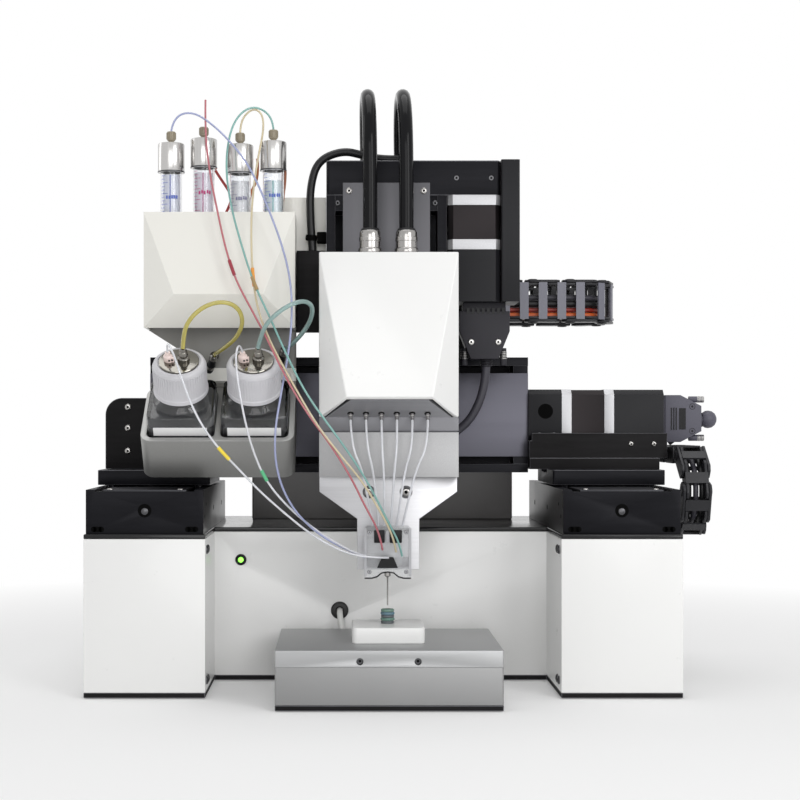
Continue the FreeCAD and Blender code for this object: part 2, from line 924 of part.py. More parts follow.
adapter_back = s.x_stage_front - s.saddle_lift - s.saddle_thickness
z_stage_back = adapter_back - s.adapter_thickness
z_stage_front = z_stage_back - s.xz_stage_height
z_stage_top = z_stage_bottom + s.z_stage_length
strip_overhang = 10.0


def z_stage():
    """The upright stage that lifts the head, with its motor beside it."""
    width, height, length = s.xz_stage_width, s.xz_stage_height, s.z_stage_length
    place = (s.needle_axis_x, z_stage_back, z_stage_bottom, TURN_Z_STAGE)
    add("z_stage", stand(stage_channel(width, height, length), *place))
    add("z_strip", stand(stage_strip(width, height, length + strip_overhang), *place))
    add("z_screw", stand(stage_screw(length), *place))
    saddle = stage_saddle(width, height)
    place = (s.needle_axis_x, z_stage_back, z_stage_bottom + s.z_saddle_rise, TURN_Z_STAGE)
    add("z_carriage", stand(saddle, *place))

    motor_x = s.needle_axis_x + s.z_motor_offset
    axis_y = z_stage_back - s.screw_height
    drive = motor(s.motor_size, 0.0)
    down = Turn(Vector(0, 0, -1), Vector(1, 0, 0), Vector(0, -1, 0), "XYZ")
    stand(drive, motor_x, axis_y, z_stage_top, down)
    half = s.motor_size / 2
    motor_low = z_stage_top - s.encoder_length - s.stack_length - 2 * s.bell_length
    controller = block(
        motor_x + half + s.seat,
        motor_x + half + 15.0,
        axis_y - half,
        axis_y + half,
        motor_low,
        drive_top,
    )
    add("z_motor", group(drive, rounded(controller, 1.5, Z_AXIS)))

    front = z_stage_front + s.strip_thickness + s.seat
    housing = block(z_left, motor_x + half, front, z_stage_back, z_stage_top, drive_top)
    housing = rounded(housing, 3.0, Z_AXIS)
    add("z_drive_housing", housing)


drive_top = z_stage_top + s.drive_height


# Gantry brackets and drag chains
x_chain_y = x_stage_back + 16.0
x_chain_z = z_stage_bottom + s.x_chain_rise
x_chain_start = z_right + 17.0
y_chain_x = half_base + 22.5
y_chain_z = saddle_top + 11.5
y_chain_start = x_stage_back + 18.0
X_LINK_COUNTS = (7, 5)
Y_LINK_COUNTS = (4, 4)
CHAIN_HALF = 7.0
BEND_TURNS = 5


def gantry_brackets():
    """The angle at the left end of the X stage and the mount under its motor at the right."""
    front = s.x_stage_front
    back = x_stage_back
    left = -half_base + s.upright_inset
    end = x_stage_left
    top = saddle_top + s.upright_height
    foot = block(left, end - 1.0, front, back + 16.0, saddle_top, saddle_top + s.upright_thickness)
    face = block(left, end, front, front + s.upright_thickness, saddle_top, top)
    corner_x = left.number + 1.0
    face = rounded(
        face,
        s.upright_corner,
        Y_AXIS,
        pick=lambda p: p.x < corner_x and p.z > top.number - 1.0,
    )
    web = block(end - s.upright_thickness, end, front, back, saddle_top, top)
    add("left_upright", joined(foot, face, web))

    low = saddle_top
    right = half_base - 1.0
    slab = block(x_stage_right, right, front - 13.0, back + 31.0, low, low + s.mount_thickness)
    shelf_low = low + s.mount_thickness
    motor_low = x_stage_middle - s.motor_size / 2
    lip_front = x_stage_back - s.screw_height - s.motor_size / 2 - s.bracket_thickness - s.seat
    far = half_base + 6.0
    shelf = block(x_stage_right, far, lip_front, back, shelf_low, motor_low - s.seat)
    lip = block(
        x_stage_right + 2.0,
        far,
        lip_front,
        lip_front + s.bracket_thickness,
        shelf_low,
        shelf_low + s.bracket_lip,
    )
    arm_y = y_chain_start + CHAIN_HALF + 0.5
    arm = block(right, y_chain_x + 11.5, arm_y, arm_y + 14.0, y_chain_z - 7.0, y_chain_z + 7.0)
    strap = block(right - 12.0, right + 1.0, arm_y - 10.0, arm_y + 14.0, low + 4.0, low + 12.0)
    add("right_mount", joined(slab, shelf, lip, arm, strap))


def x_chain_bracket():
    """Carries the fixed end of the X drag chain behind the stage."""
    rise = chain_spread(s.x_chain_pitch)
    rear = x_chain_y + rise
    fixed_x = x_chain_start + (X_LINK_COUNTS[0] - X_LINK_COUNTS[1]) * s.x_chain_pitch
    right = fixed_x - CHAIN_HALF - s.seat
    left = right - s.chain_tray_width
    level = x_stage_middle + s.chain_tray_rise
    half = s.x_chain_width / 2
    tray = block(left, right, x_stage_back, rear + 16.0, level, level + 5.0)
    riser = block(left, right, rear + 11.0, rear + 16.0, level, x_chain_z + half)
    clamp = block(left, right, rear - 7.0, rear + 12.0, x_chain_z - half, x_chain_z + half)
    add("x_chain_bracket", joined(tray, riser, clamp))


def y_chain_bracket():
    """Carries the fixed end of the Y drag chain beside the right Y stage."""
    level = y_chain_z - chain_spread(s.y_chain_pitch)
    start = y_chain_start + CHAIN_HALF + 0.5
    side = y_stage_centre + s.y_stage_width / 2
    low = deck_top + 1.0
    foot = block(side, y_chain_x + 11.5, start, start + 12.0, low, low + 8.0)
    clamp = block(y_chain_x - 11.5, y_chain_x + 11.5, start, start + 12.0, level - 7.0, low + 8.0)
    add("y_chain_bracket", joined(foot, clamp))


def chain_spread(pitch):
    """How far apart the two runs of a chain lie once its links have turned right round."""
    step = math.pi / BEND_TURNS
    return pitch * sum(math.sin(step * turn) for turn in range(1, BEND_TURNS))


def chain(name, pitch, width, runs, place):
    """A drag chain bent back on itself: open links, wide and narrow ones in turn."""
    long = float(pitch)
    wall = float(s.chain_wall)
    angles = [0.0] * runs[0]
    angles += [180.0 / BEND_TURNS * turn for turn in range(1, BEND_TURNS)]
    angles += [180.0] * runs[1]
    reach = CHAIN_HALF
    profile = [
        Vector(-reach, -reach / 2, 0),
        Vector(-reach / 2, -reach, 0),
        Vector(long + reach / 2, -reach, 0),
        Vector(long + reach, -reach / 2, 0),
        Vector(long + reach, reach / 2, 0),
        Vector(long + reach / 2, reach, 0),
        Vector(-reach / 2, reach, 0),
        Vector(-reach, reach / 2, 0),
    ]
    side = Part.Face(Part.makePolygon(profile + [profile[0]]))
    links = []
    pivot = Vector()
    for number, angle in enumerate(angles):
        half = float(width) / 2 - (number % 2) * (wall + 0.4)
        plates = []
        for low in (-half, half - wall):
            plate = side.extrude(Vector(0, 0, wall))
            plate.translate(Vector(0, 0, low))
            plates.append(plate)
        for level in (-reach, reach - 1.4):
            start = Vector(long / 2 - 2.4, level, -half + 0.5)
            plates.append(Part.makeBox(4.8, 1.4, 2 * half - 1.0, start))
        link = plates[0].fuse(plates[1:]).removeSplitter()
        link.Placement = FreeCAD.Placement(pivot, Turn(Z_AXIS, angle))
        links.append(link)
        heading = math.radians(angle)
        pivot = pivot + Vector(math.cos(heading), math.sin(heading), 0) * long
    thing = formed(Part.makeCompound(links))
    add(name, stand(thing, *place))


def chains():
    """The X chain lies on its side behind the Z stage, the Y chain stands beside the right."""
    place = (x_chain_start, x_chain_y, x_chain_z, Turn())
    chain("x_chain", s.x_chain_pitch, s.x_chain_width, X_LINK_COUNTS, place)
    turn = Turn(Vector(0, -1, 0), Vector(0, 0, -1), Vector(1, 0, 0), "XYZ")
    place = (y_chain_x, y_chain_start, y_chain_z, turn)
    chain("y_chain", s.y_chain_pitch, s.y_chain_width, Y_LINK_COUNTS, place)


def backshell(width, length, thickness, corner):
    """A connector's hood in its own XY plane: square at the plug, tapered to the cable."""
    half = width / 2
    plan = [
        (-half, 0.0),
        (half, 0.0),
        (half, length * 0.42),
        (half - corner, length),
        (-half + corner, length),
        (-half, length * 0.42),
    ]
    return prism(plan, thickness, "backshell")


def connectors():
    """The plugs of the X and Z motors, each with its hood and two thumbscrews."""
    motor_end = x_stage_right + s.coupling_length + 2 * s.bell_length + s.stack_length
    motor_end = motor_end + s.encoder_length
    axis_y = x_stage_back - s.screw_height
    hood = backshell(39.0, 30.0, 16.0, 9.0)
    turn = Turn(Vector(0, 0, 1), Vector(1, 0, 0), Vector(0, 1, 0), "XYZ")
    stand(hood, motor_end + 3.0, axis_y - 12.0, x_stage_middle - 3.0, turn)
    plug = block(
        motor_end,
        motor_end + 3.0,
        axis_y - 11.0,
        axis_y + 3.0,
        x_stage_middle - 21.0,
        x_stage_middle + 15.0,
    )
    exit_turn = rod(motor_end + 33.0, axis_y - 4.0, x_stage_middle - 4.0, 4.5, 8.0, "x")
    studs = [
        rod(motor_end + 24.0, axis_y - 4.0, x_stage_middle + step, 2.6, 12.0, "x")
        for step in (-19.0, 13.0)
    ]
    add("x_connector", joined(hood, plug, exit_turn, *studs))

    motor_x = s.needle_axis_x + s.z_motor_offset + 9.0
    motor_low = z_stage_top - s.encoder_length - s.stack_length - 2 * s.bell_length
    motor_y = z_stage_back - s.screw_height
    hood = backshell(40.0, 38.0, 16.0, 9.0)
    turn = Turn(Vector(1, 0, 0), Vector(0, 0, -1), Vector(0, 1, 0), "XYZ")
    stand(hood, motor_x, motor_y - 11.0, motor_low - 7.0, turn)
    plug = block(motor_x - 17.0, motor_x + 17.0, motor_y - 9.0, motor_y + 3.0, motor_low - 7.0, motor_low)
    studs = [
        rod(motor_x + step, motor_y - 3.0, motor_low - 50.0, 2.6, 14.0) for step in (-15.5, 15.5)
    ]
    add("z_connector", joined(hood, plug, *studs))


def adapter():
    """The plate that joins the X carriage to the Z stage, with its arm for chain and hoses."""
    top = z_stage_bottom + s.adapter_height
    plate = block(z_left, z_right, z_stage_back, adapter_back, z_stage_bottom, top)
    half = s.x_chain_width / 2
    arm_end = x_chain_start - CHAIN_HALF - s.seat
    level = x_chain_z - half
    web = block(z_left + 24.0, arm_end, adapter_back, x_chain_y + 7.0, level, level + 6.0)
    clamp = block(arm_end - 14.0, arm_end, x_chain_y - 7.0, x_chain_y + 7.0, level, x_chain_z + half)
    bulkhead = block(
        hose_left - 12.0,
        hose_right + 12.0,
        adapter_back - 1.0,
        hose_back_y + 9.0,
        level - 6.0,
        hose_back_z,
    )
    add("adapter_plate", joined(plate, web, clamp, bulkhead))


def control_box():
    """The pneumatics and control unit on the deck behind the X stage."""
    back = s.base_depth - 2.0
    left, right = -inner_side + 24.0, inner_side - 16.0
    case = block(left, right, back - s.control_depth, back, deck_top, deck_top + s.control_height)
    add("control_box", rounded(case, 2.0, Z_AXIS))


# Print head
head_x = s.needle_axis_x + 0.7
head_half = s.head_width / 2
head_back = z_stage_front - s.saddle_lift - s.saddle_thickness
head_front = head_back - s.head_depth
head_shoulder = head_bottom + s.port_block_height
cover_top = head_shoulder + s.cover_height
nose_z = head_shoulder + s.nose_height
nose_y = head_front - s.nose_reach
nozzle_front = s.needle_axis_y + s.cartridge_thickness / 2
cartridge_low = head_bottom - s.shoulder_height - s.taper_height - s.tongue_height - 6.0
hose_left = head_x - s.hose_spacing / 2
hose_right = head_x + s.hose_spacing / 2
hose_front_y = head_front + 15.0
hose_back_y = adapter_back + 13.5
hose_back_z = z_stage_bottom + 135.0


def cover_corners(inset, drop, open_back):
    """The ten corners of the faceted cover, or of its hollow when an inset is given."""
    half = float(head_half) - inset
    nose_half = float(s.nose_width) / 2 - inset * 0.4
    front = float(head_front) + inset
    back = float(head_back) + open_back
    tip = float(nose_y) + inset * 1.04
    x = float(head_x)
    corners = []
    for side in (-1, 1):
        corners += [
            (x + side * half, back, float(cover_top) - inset),
            (x + side * half, front, float(cover_top) - inset),
            (x + side * nose_half, tip, float(nose_z) - drop),
            (x + side * half, front, float(head_shoulder) - drop),
            (x + side * half, back, float(head_shoulder) - drop),
        ]
    return corners


def head():
    """The print head on the Z carriage."""
    wall = float(s.cover_wall)
    outer = formed(convex(cover_corners(0.0, 0.0, 0.0)))
    hollow = formed(convex(cover_corners(wall, 4.0, 1.0)))
    add("head_cover", cut(outer, hollow))

    main = block(
        head_x - head_half, head_x + head_half, head_front, head_back, head_bottom, head_shoulder
    )
    inner = head_half - s.cover_wall - s.seat
    spine = block(
        head_x - inner, head_x + inner, head_back - 4.0, head_back, head_shoulder - 1, cover_top - 6.0
    )
    slope = float(s.nose_height) / float(s.nose_reach)
    gap = float(s.seat)
    tip_y = float(nose_y) + wall * 1.04 + gap + 0.8
    tip_z = float(nose_z) - (tip_y - float(nose_y)) * slope
    foot_y = float(head_front) + wall + gap
    foot_z = float(head_shoulder) - (foot_y - float(head_front)) * slope
    wedge_points = []
    for side in (-1, 1):
        wide = float(head_x) + side * (float(inner) - gap)
        narrow = float(head_x) + side * (float(s.nose_width) / 2 - wall - 2 * gap)
        wedge_points += [(narrow, tip_y, tip_z), (narrow, tip_y, tip_z + 1.0)]
        wedge_points += [(wide, foot_y, foot_z), (wide, foot_y, tip_z + 1.0)]
    wedge = formed(convex(wedge_points))
    add("port_block", joined(main, spine, wedge))

    half = head_half
    tongue = s.tongue_width / 2
    plate = new_body("nozzle_plate")
    bottom = -s.shoulder_height - s.taper_height - s.tongue_height
    plan = [
        (-half, 0.0),
        (-half, -s.shoulder_height),
        (-tongue, -s.shoulder_height - s.taper_height),
        (-tongue, bottom),
        (tongue, bottom),
        (tongue, -s.shoulder_height - s.taper_height),
        (half, -s.shoulder_height),
        (half, 0.0),
    ]
    pad(plate, outline(plate, "XZ_Plane", plan), s.nozzle_plate_thickness)
    back = nozzle_front + s.nozzle_plate_thickness
    add("nozzle_plate", stand(plate, head_x, back, head_bottom))

    body = new_body("cartridge")
    side = s.cartridge_width / 2
    rise = 4.5
    plan = [
        (-side, 0.0),
        (-8.0, 0.0),
        (-4.0, rise),
        (4.0, rise),
        (8.0, 0.0),
        (side, 0.0),
        (side, s.cartridge_height - 2.0),
        (side - 2.0, s.cartridge_height),
        (-side + 2.0, s.cartridge_height),
        (-side, s.cartridge_height - 2.0),
    ]
    pad(body, outline(body, "XZ_Plane", plan), s.cartridge_thickness)
    add("cartridge", stand(body, s.needle_axis_x, nozzle_front, cartridge_low))

    tip = -s.needle_length
    needle = turned(
        "needle",
        [
            (0.0, tip),
            (s.needle_radius, tip),
            (s.needle_radius, -4.5),
            (1.4, -3.6),
            (2.4, -3.0),
            (2.4, 0.0),
            (0.0, 0.0),
        ],
    )
    add("needle", stand(needle, s.needle_axis_x, s.needle_axis_y, cartridge_low + rise))

    fittings = []
    for place_x in (hose_left, hose_right):
        barrel = turned(
            "barrel",
            [
                (0.0, 0.0),
                (s.fitting_radius + 0.6, 0.0),
                (s.fitting_radius + 0.6, 4.2),
                (s.fitting_radius, 4.8),
                (s.fitting_radius, s.fitting_height - 1.2),
                (s.fitting_radius - 1.0, s.fitting_height),
                (0.0, s.fitting_height),
            ],
        )
        fittings.append(stand(barrel, place_x, hose_front_y, cover_top))
    for x, y, z in port_places():
        ferrule = Part.makeCylinder(float(s.port_radius), 6.0, Vector(x, y, z), PORT_WAY)
        fittings.append(formed(ferrule))
    add("head_fittings", group(*fittings))


PORT_WAY = Vector(0, -float(s.nose_height), -float(s.nose_reach)).normalize()


def port_places():
    """Where the six ports leave the sloping face under the nose."""
    slope = float(s.nose_height) / float(s.nose_reach)
    y = float(head_front) - 4.0
    z = float(head_shoulder) + 4.0 * slope
    return [(float(head_x) + (n - 2.5) * float(s.port_spacing), y, z) for n in range(6)]


# Reservoir module
module_right = s.module_left + s.module_width
panel_bottom = shroud_bottom - s.panel_drop
gas_port_level = shroud_bottom - s.gas_port_drop
shelf_top = shroud_bottom + 7.0
module_middle = s.module_left + s.module_width / 2
tube_lifts = (1.0, 4.6, 0.0, 2.4)
tube_places = [module_middle + offset for offset in (-38.85, -13.25, 15.25, 41.35)]


def shroud_corners(inset, back):
    left = float(s.module_left) + inset
    right = float(module_right) - inset
    front = float(s.shroud_front)
    top = float(shroud_top) - inset
    low = float(shroud_bottom)
    nose_level = low + 24.5
    corners = []
    for x, nose_x in ((left, left + 25.3 - inset * 0.5), (right, right - 23.8 + inset * 0.5)):
        corners += [
            (x, back, top),
            (x, front + inset, top),
            (nose_x, inset * 1.2, nose_level),
            (x, front + inset * 1.1, low + inset * 0.9),
            (x, back, low + inset * 0.9),
        ]
    return corners


def reservoir():
    """The faceted shroud with its four tubes, on a panel that the Z stage carries."""
    wall = float(s.shroud_wall)
    outer = formed(convex(shroud_corners(0.0, float(s.shroud_back))))
    hollow = formed(convex(shroud_corners(wall, float(s.shroud_back) + 1)))
    mouth = block(
        s.module_left + s.shroud_wall,
        module_right - s.shroud_wall,
        s.shroud_front + 2.6,
        s.shroud_back + 1.0,
        shroud_bottom - 1.0,
        shroud_bottom + 3.0,
    )
    holes = [rod(x, s.tube_y, shroud_top - 6.0, s.tube_radius + s.seat, 12.0) for x in tube_places]
    add("reservoir_shroud", cut(outer, hollow, mouth, *holes))

    left, right = s.module_left, module_right
    panel = new_body("panel")
    plan = [
        (left, shroud_top - 1.0),
        (left, shroud_bottom),
        (left + 22.0, shroud_bottom - 14.0),
        (left + 22.0, panel_bottom),
        (right, panel_bottom),
        (right, shroud_top - 1.0),
    ]
    pad(panel, outline(panel, "XZ_Plane", plan), s.panel_thickness)
    stand(panel, 0, s.shroud_back + s.panel_thickness, 0)
    shelf = block(left + 4.0, right - 4.0, 25.0, s.shroud_back + 1.0, shelf_top - 3.0, shelf_top)
    tab = block(
        left + 24.0,
        right - 4.0,
        s.tray_depth + s.seat,
        s.tray_depth + s.seat + 3.5,
        6.0,
        s.tray_height + 2.0,
    )
    add("reservoir_panel", joined(panel, shelf, lean(group(tab))))

    panel_back = s.shroud_back + s.panel_thickness
    low = shroud_bottom - 1.5
    plate = block(right - 27.0, z_left, panel_back, panel_back + 5.0, low, low + 64.0)
    arm = block(right + 0.5, z_left, panel_back - 12.0, panel_back + 5.0, low, low + 64.0)
    tall = block(
        right - 27.0, z_left - 0.4, panel_back + 5.0, panel_back + 7.5, low + 38.0, shroud_top + 17.0
    )
    add("reservoir_bracket", group(joined(plate, arm), tall))

    tubes, caps, fittings = [], [], []
    for x, lift in zip(tube_places, tube_lifts):
        low = shelf_top + s.seat + lift
        tube = turned(
            "tube",
            [
                (0.0, 0.0),
                (2.0, 0.0),
                (s.tube_radius, 22.0),
                (s.tube_radius, s.tube_length),
                (0.0, s.tube_length),
            ],
        )
        tubes.append(stand(tube, x, s.tube_y, low))
        grip = 4.0
        cap = turned(
            "cap",
            [
                (s.tube_radius + 0.15, 0.0),
                (s.tube_cap_radius, 0.0),
                (s.tube_cap_radius, s.tube_cap_height - 0.8),
                (s.tube_cap_radius - 0.8, s.tube_cap_height),
                (0.0, s.tube_cap_height),
                (0.0, grip),
                (s.tube_radius + 0.15, grip),
            ],
        )
        cap_low = low + s.tube_length - grip
        caps.append(stand(cap, x, s.tube_y, cap_low))
        nut = turned(
            "nut",
            [(0.0, 0.0), (1.9, 0.0), (1.9, 1.6), (3.4, 2.6), (3.7, 3.6), (3.7, 9.4), (0.0, 9.4)],
        )
        fittings.append(stand(nut, x, s.tube_y, cap_low + s.tube_cap_height))
    add("sample_tubes", group(*tubes))
    return caps, fittings


def lean(thing):
    """Tilts a thing built square in the tray's own frame into its place."""
    return stand(thing, 0.0, s.tray_front, tray_low, Turn(X_AXIS, float(s.tray_tilt)))


def bottles(tube_caps, tube_fittings):
    """The tilted tray with two square bottles, then the caps and fittings of all reservoirs."""
    left, right = s.module_left, module_right
    depth, height, wall = s.tray_depth, s.tray_height, s.tray_wall
    outer = rounded(block(left, right, 0.0, depth, 0.0, height), 9.0, Z_AXIS)
    pockets = []
    glass, caps, fittings = [], [], []
    for side in (-1, 1):
        middle = module_middle + side * (s.bottle_side + wall + 1.0) / 2
        bay = (s.bottle_side + 1.0) / 2
        pocket_block = block(middle - bay, middle + bay, wall, depth - wall, wall, height + 1.0)
        pockets.append(rounded(pocket_block, 5.0, Z_AXIS))
        half = s.bottle_side / 2
        centre = depth / 2
        low = wall
        body = rounded(
            block(middle - half, middle + half, centre - half, centre + half, low, low + 46.0),
            6.0,
            Z_AXIS,
        )
        neck = turned(
            "neck", [(0.0, 45.0), (22.0, 45.0), (17.0, 51.0), (16.6, s.bottle_height), (0.0, s.bottle_height)]
        )
        stand(neck, middle, centre, low)
        glass.append(joined(body, neck))
        cap_low = low + s.bottle_height
        cap = turned(
            "cap",
            [
                (0.0, 0.0),
                (s.bottle_cap_radius + 0.6, 0.0),
                (s.bottle_cap_radius, s.bottle_cap_height - 2.0),
                (s.bottle_cap_radius - 2.0, s.bottle_cap_height),
                (0.0, s.bottle_cap_height),
            ],
        )
        caps.append(stand(cap, middle, centre, cap_low))
        top = cap_low + s.bottle_cap_height
        disc = turned("disc", [(0.0, 0.0), (15.4, 0.0), (15.4, 0.5), (14.6, 1.0), (0.0, 1.0)])
        barb = turned(
            "barb",
            [(0.0, 0.5), (4.6, 0.5), (4.6, 4.0), (3.0, 5.0), (3.0, 9.0), (1.7, 10.0), (1.7, BARB)]
            + [(0.0, BARB)],
        )
        plug = turned("plug", [(0.0, 0.5), (3.2, 0.5), (3.2, 5.6), (2.0, 6.8), (2.0, PLUG), (0.0, PLUG)])
        stand(disc, middle, centre, top)
        stand(barb, middle + BARB_OFFSET, centre, top)
        stand(plug, middle - PLUG_OFFSET, centre, top)
        fittings.append(joined(disc, barb, plug))
    add("bottle_tray", lean(group(cut(outer, *pockets))))
    add("bottles", lean(group(*glass)))
    add("reservoir_caps", group(lean(group(*caps)), *tube_caps))
    stubs = [
        rod(x, GAS_FRONT, gas_port_level + rise, 3.4, s.shroud_back - GAS_FRONT, "y")
        for x, rise in GAS_PORTS
    ]
    add("line_fittings", group(lean(group(*fittings)), *tube_fittings, *stubs))


BARB = 12.0
BARB_OFFSET = 3.8
PLUG = 8.6
PLUG_OFFSET = 8.0
GAS_PORTS = ((-131.0, 0.0), (-76.0, 4.0))
GAS_FRONT = 32.0


def on_bottle(side, across, height):
    """A point above a bottle's cap, measured from the cap's centre in the tray's own frame."""
    middle = float(module_middle) + side * (float(s.bottle_side) + float(s.tray_wall) + 1.0) / 2
    depth = float(s.tray_depth) / 2
    rise = float(s.tray_wall) + float(s.bottle_height) + float(s.bottle_cap_height) + height
    lean_turn = Turn(X_AXIS, float(s.tray_tilt))
    spot = lean_turn.multVec(Vector(middle + across, depth, rise))
    return (spot.x, spot.y + float(s.tray_front), spot.z + float(tray_low))


# Cords: cables, hoses and fluid lines. Their points are chosen by hand from the photograph.
cable_radius = 2.4
line_radius = 0.8
gas_radius = 1.7

FLUID_ROUTES = (
    [
        (-165.6, 34, 438.9),
        (-164.6, 33.4, 445.5),
        (-158, 31, 452.5),
        (-147, 28, 452.5),
        (-135, 23, 444.5),
        (-121, 15, 431),
        (-104, 7, 410),
        (-90, 2, 380),
        (-75, -4, 340),
        (-69, -11, 308),
        (-70, -19, 272),
        (-77, -28, 232),
        (-82, -33, 200),
        (-80, -31, 172),
        (-70, -26, 148),
        (-54, -19, 130),
        (-34, -10, 116.5),
        (-14.2, 2.6, 107.4),
    ],
    [
        (-138.2, 28, 462.4),
        (-138.1, 22, 437),
        (-134, 16, 404),
        (-128, 8, 376),
        (-120.5, 0, 343),
        (-112, -8, 318),
        (-100, -16, 296),
        (-87, -24, 272),
        (-75, -31, 247),
        (-60, -35, 221),
        (-40, -34, 194),
        (-25, -28, 170),
        (-14, -18, 147),
        (-3, -6, 127),
        (-0.5, 2.7, 113),
    ],
    [
        (-111.5, 34, 437.9),
        (-111.2, 33.4, 444.5),
        (-107.5, 32, 452),
        (-100, 30, 456.5),
        (-93.5, 27, 451),
        (-92.5, 24, 438),
        (-97, 18, 414),
        (-100.8, 10, 382),
        (-101.1, 2, 353),
        (-99.5, -6, 322),
        (-95, -15, 294),
        (-84, -25, 268),
        (-68, -33, 239),
        (-50, -36, 208),
        (-31, -33, 184),
        (-16, -27, 166),
        (-3, -16, 144),
        (8, -4, 123),
        (9.8, 2.7, 111.5),
    ],
    [
        (-85.4, 34, 440.3),
        (-86, 33, 447.5),
        (-92, 31, 455),
        (-102, 28, 457.5),
        (-112, 24.5, 450.5),
        (-119, 20, 435),
        (-121.5, 13, 408),
        (-117, 5, 377),
        (-108, -4, 345),
        (-98, -13, 315),
        (-85, -22, 288),
        (-73, -31, 261),
        (-58, -37, 231),
        (-38, -37, 204),
        (-21, -31, 180),
        (-8, -22, 158),
        (4, -10, 134),
        (12.5, -2.5, 118),
        (14.4, 2.7, 108.3),
    ],
    [
        on_bottle(-1, -PLUG_OFFSET, PLUG + 0.3),
        (-163.2, -19, 268.5),
        (-161, -27, 269),
        (-156, -32.5, 260),
        (-149, -35, 239),
        (-140, -36, 216),
        (-126, -33, 194),
        (-108, -28.5, 175),
        (-92, -25.5, 158),
        (-74, -22.5, 142),
        (-56, -18, 127),
        (-38, -12.5, 116),
        (-22, -8, 109.5),
        (-4, -3, 107.5),
        (4, 2.6, 107),
    ],
    [
        on_bottle(1, -PLUG_OFFSET, PLUG + 0.3),
        (-107.5, -20.5, 268),
        (-109.5, -28, 267),
        (-110.5, -33.5, 258),
        (-108.5, -36, 240),
        (-104, -36, 214),
        (-98, -33, 190),
        (-88, -28, 166),
        (-71, -23, 146),
        (-51, -17, 129),
        (-32, -10, 117),
        (-19, -4.5, 110),
        (-13.8, 2.7, 108.9),
    ],
)

GAS_ROUTES = (
    [
        on_bottle(-1, BARB_OFFSET, BARB + 0.5),
        (-150, -25, 279),
        (-143.5, -27, 290),
        (-132, -27, 298.5),
        (-119, -25, 301),
        (-109, -19, 296.5),
        (-106, -11, 286),
        (-112, 0, 275),
        (-122, 12, 268),
        (-129, 24, 264.6),
        (-131, 31.0, 264),
    ],
    [
        on_bottle(1, BARB_OFFSET, BARB + 0.5),
        (-91, -26, 280),
        (-82.5, -28, 290),
        (-70.5, -27, 298.5),
        (-59.5, -21, 302),
        (-53.5, -11, 298.5),
        (-55, 1, 289),
        (-62.5, 13, 278.5),
        (-72, 24, 270),
        (-76, 31.0, 268),
    ],
)

BED_CABLE = [
    (-33.5, 87.4, 57),
    (-33.5, 82, 57),
    (-33.2, 78, 53),
    (-32.2, 76.6, 44),
    (-30.2, 76, 33),
    (-28.4, 75.6, 25),
    (-27.8, 73.6, 18.5),
]

CASE_CABLES = (
    (
        3.2,
        [
            (14, 60, 421.5),
            (-1, 60, 421.6),
            (-14, 60, 424.5),
            (-31, 59, 428.5),
            (-51, 57, 420),
            (-57, 55, 399),
            (-57, 54, 374),
            (-55, 52, 347.2),
        ],
    ),
    (
        3.4,
        [
            (84.4, 61, 260.6),
            (83.5, 61.5, 244),
            (78, 62.5, 224),
            (67, 64, 207),
            (53.2, 66, 198.8),
        ],
    ),
)

MOTOR_CABLE = [
    (277.3, 112, 213),
    (277.5, 121, 213),
    (277, 137, 211.5),
    (272.5, 152, 207),
    (262, 163, 201),
    (252, 166.5, 193.2),
]


def port_route(place, landing):
    """From a port's ferrule down to the top edge of the cartridge."""
    x, y, z = place
    tip = Vector(x, y, z) + PORT_WAY * 6.1
    end_x = landing
    top = float(cartridge_low) + float(s.cartridge_height)
    middle = (tip.x + end_x) / 2
    return [
        (tip.x, tip.y, tip.z),
        (tip.x * 0.98 + end_x * 0.02, tip.y - 5.0, tip.z - 9.0),
        (tip.x * 0.85 + end_x * 0.15, tip.y - 9.5, tip.z - 24.0),
        (middle, tip.y - 9.0, (tip.z + top) / 2 + 4.0),
        (tip.x * 0.15 + end_x * 0.85, tip.y + 4.0, top + 16.0),
        (end_x, 7.0, top + 0.6),
    ]


def hose_route(x):
    """A hose: up from the head, back over the Z stage and down to the arm behind it."""
    low = float(cover_top) + float(s.fitting_height) + 0.1
    return [
        (x, hose_front_y, low),
        (x, hose_front_y - 0.8, 402.0),
        (x - 0.6, 12.6, 444.5),
        (x - 1.4, 37.0, 470.0),
        (x - 2.2, 72.6, 470.5),
        (x - 1.8, 97.6, 445.5),
        (x - 0.8, 98.8, 404.0),
        (x, 98.4, 362.0),
        (x, hose_back_y, hose_back_z + 0.1),
    ]


def cords():
    """All the cables, hoses and fluid lines."""
    add("bed_cable", cord("bed_cable", BED_CABLE, cable_radius))
    add("x_motor_cable", cord("x_motor_cable", MOTOR_CABLE, 2.6))
    cases = [cord("z_cable", route, radius) for radius, route in CASE_CABLES]
    add("z_cables", group(*cases))
    hoses = [cord("hose", hose_route(float(x)), s.hose_radius) for x in (hose_left, hose_right)]
    add("head_hoses", group(*hoses))
    add("gas_tubes", group(*[cord("gas_tube", route, gas_radius) for route in GAS_ROUTES]))
    add("fluid_lines", group(*[cord("fluid_line", route, line_radius) for route in FLUID_ROUTES]))
    tubes = []
    for number, place in enumerate(port_places()):
        landing = float(s.needle_axis_x) + (number - 2.5) * 4.6
        tubes.append(cord("port_tube", port_route(place, landing), 0.9))
    add("port_tubes", group(*tubes))


# The whole machine
base()
panel_fittings()
electronics()
print_bed()
control_box()
y_stages()
y_chain_bracket()
gantry_brackets()
x_stage()
x_chain_bracket()
chains()
connectors()
adapter()
z_stage()
head()
bottles(*reservoir())
cords()

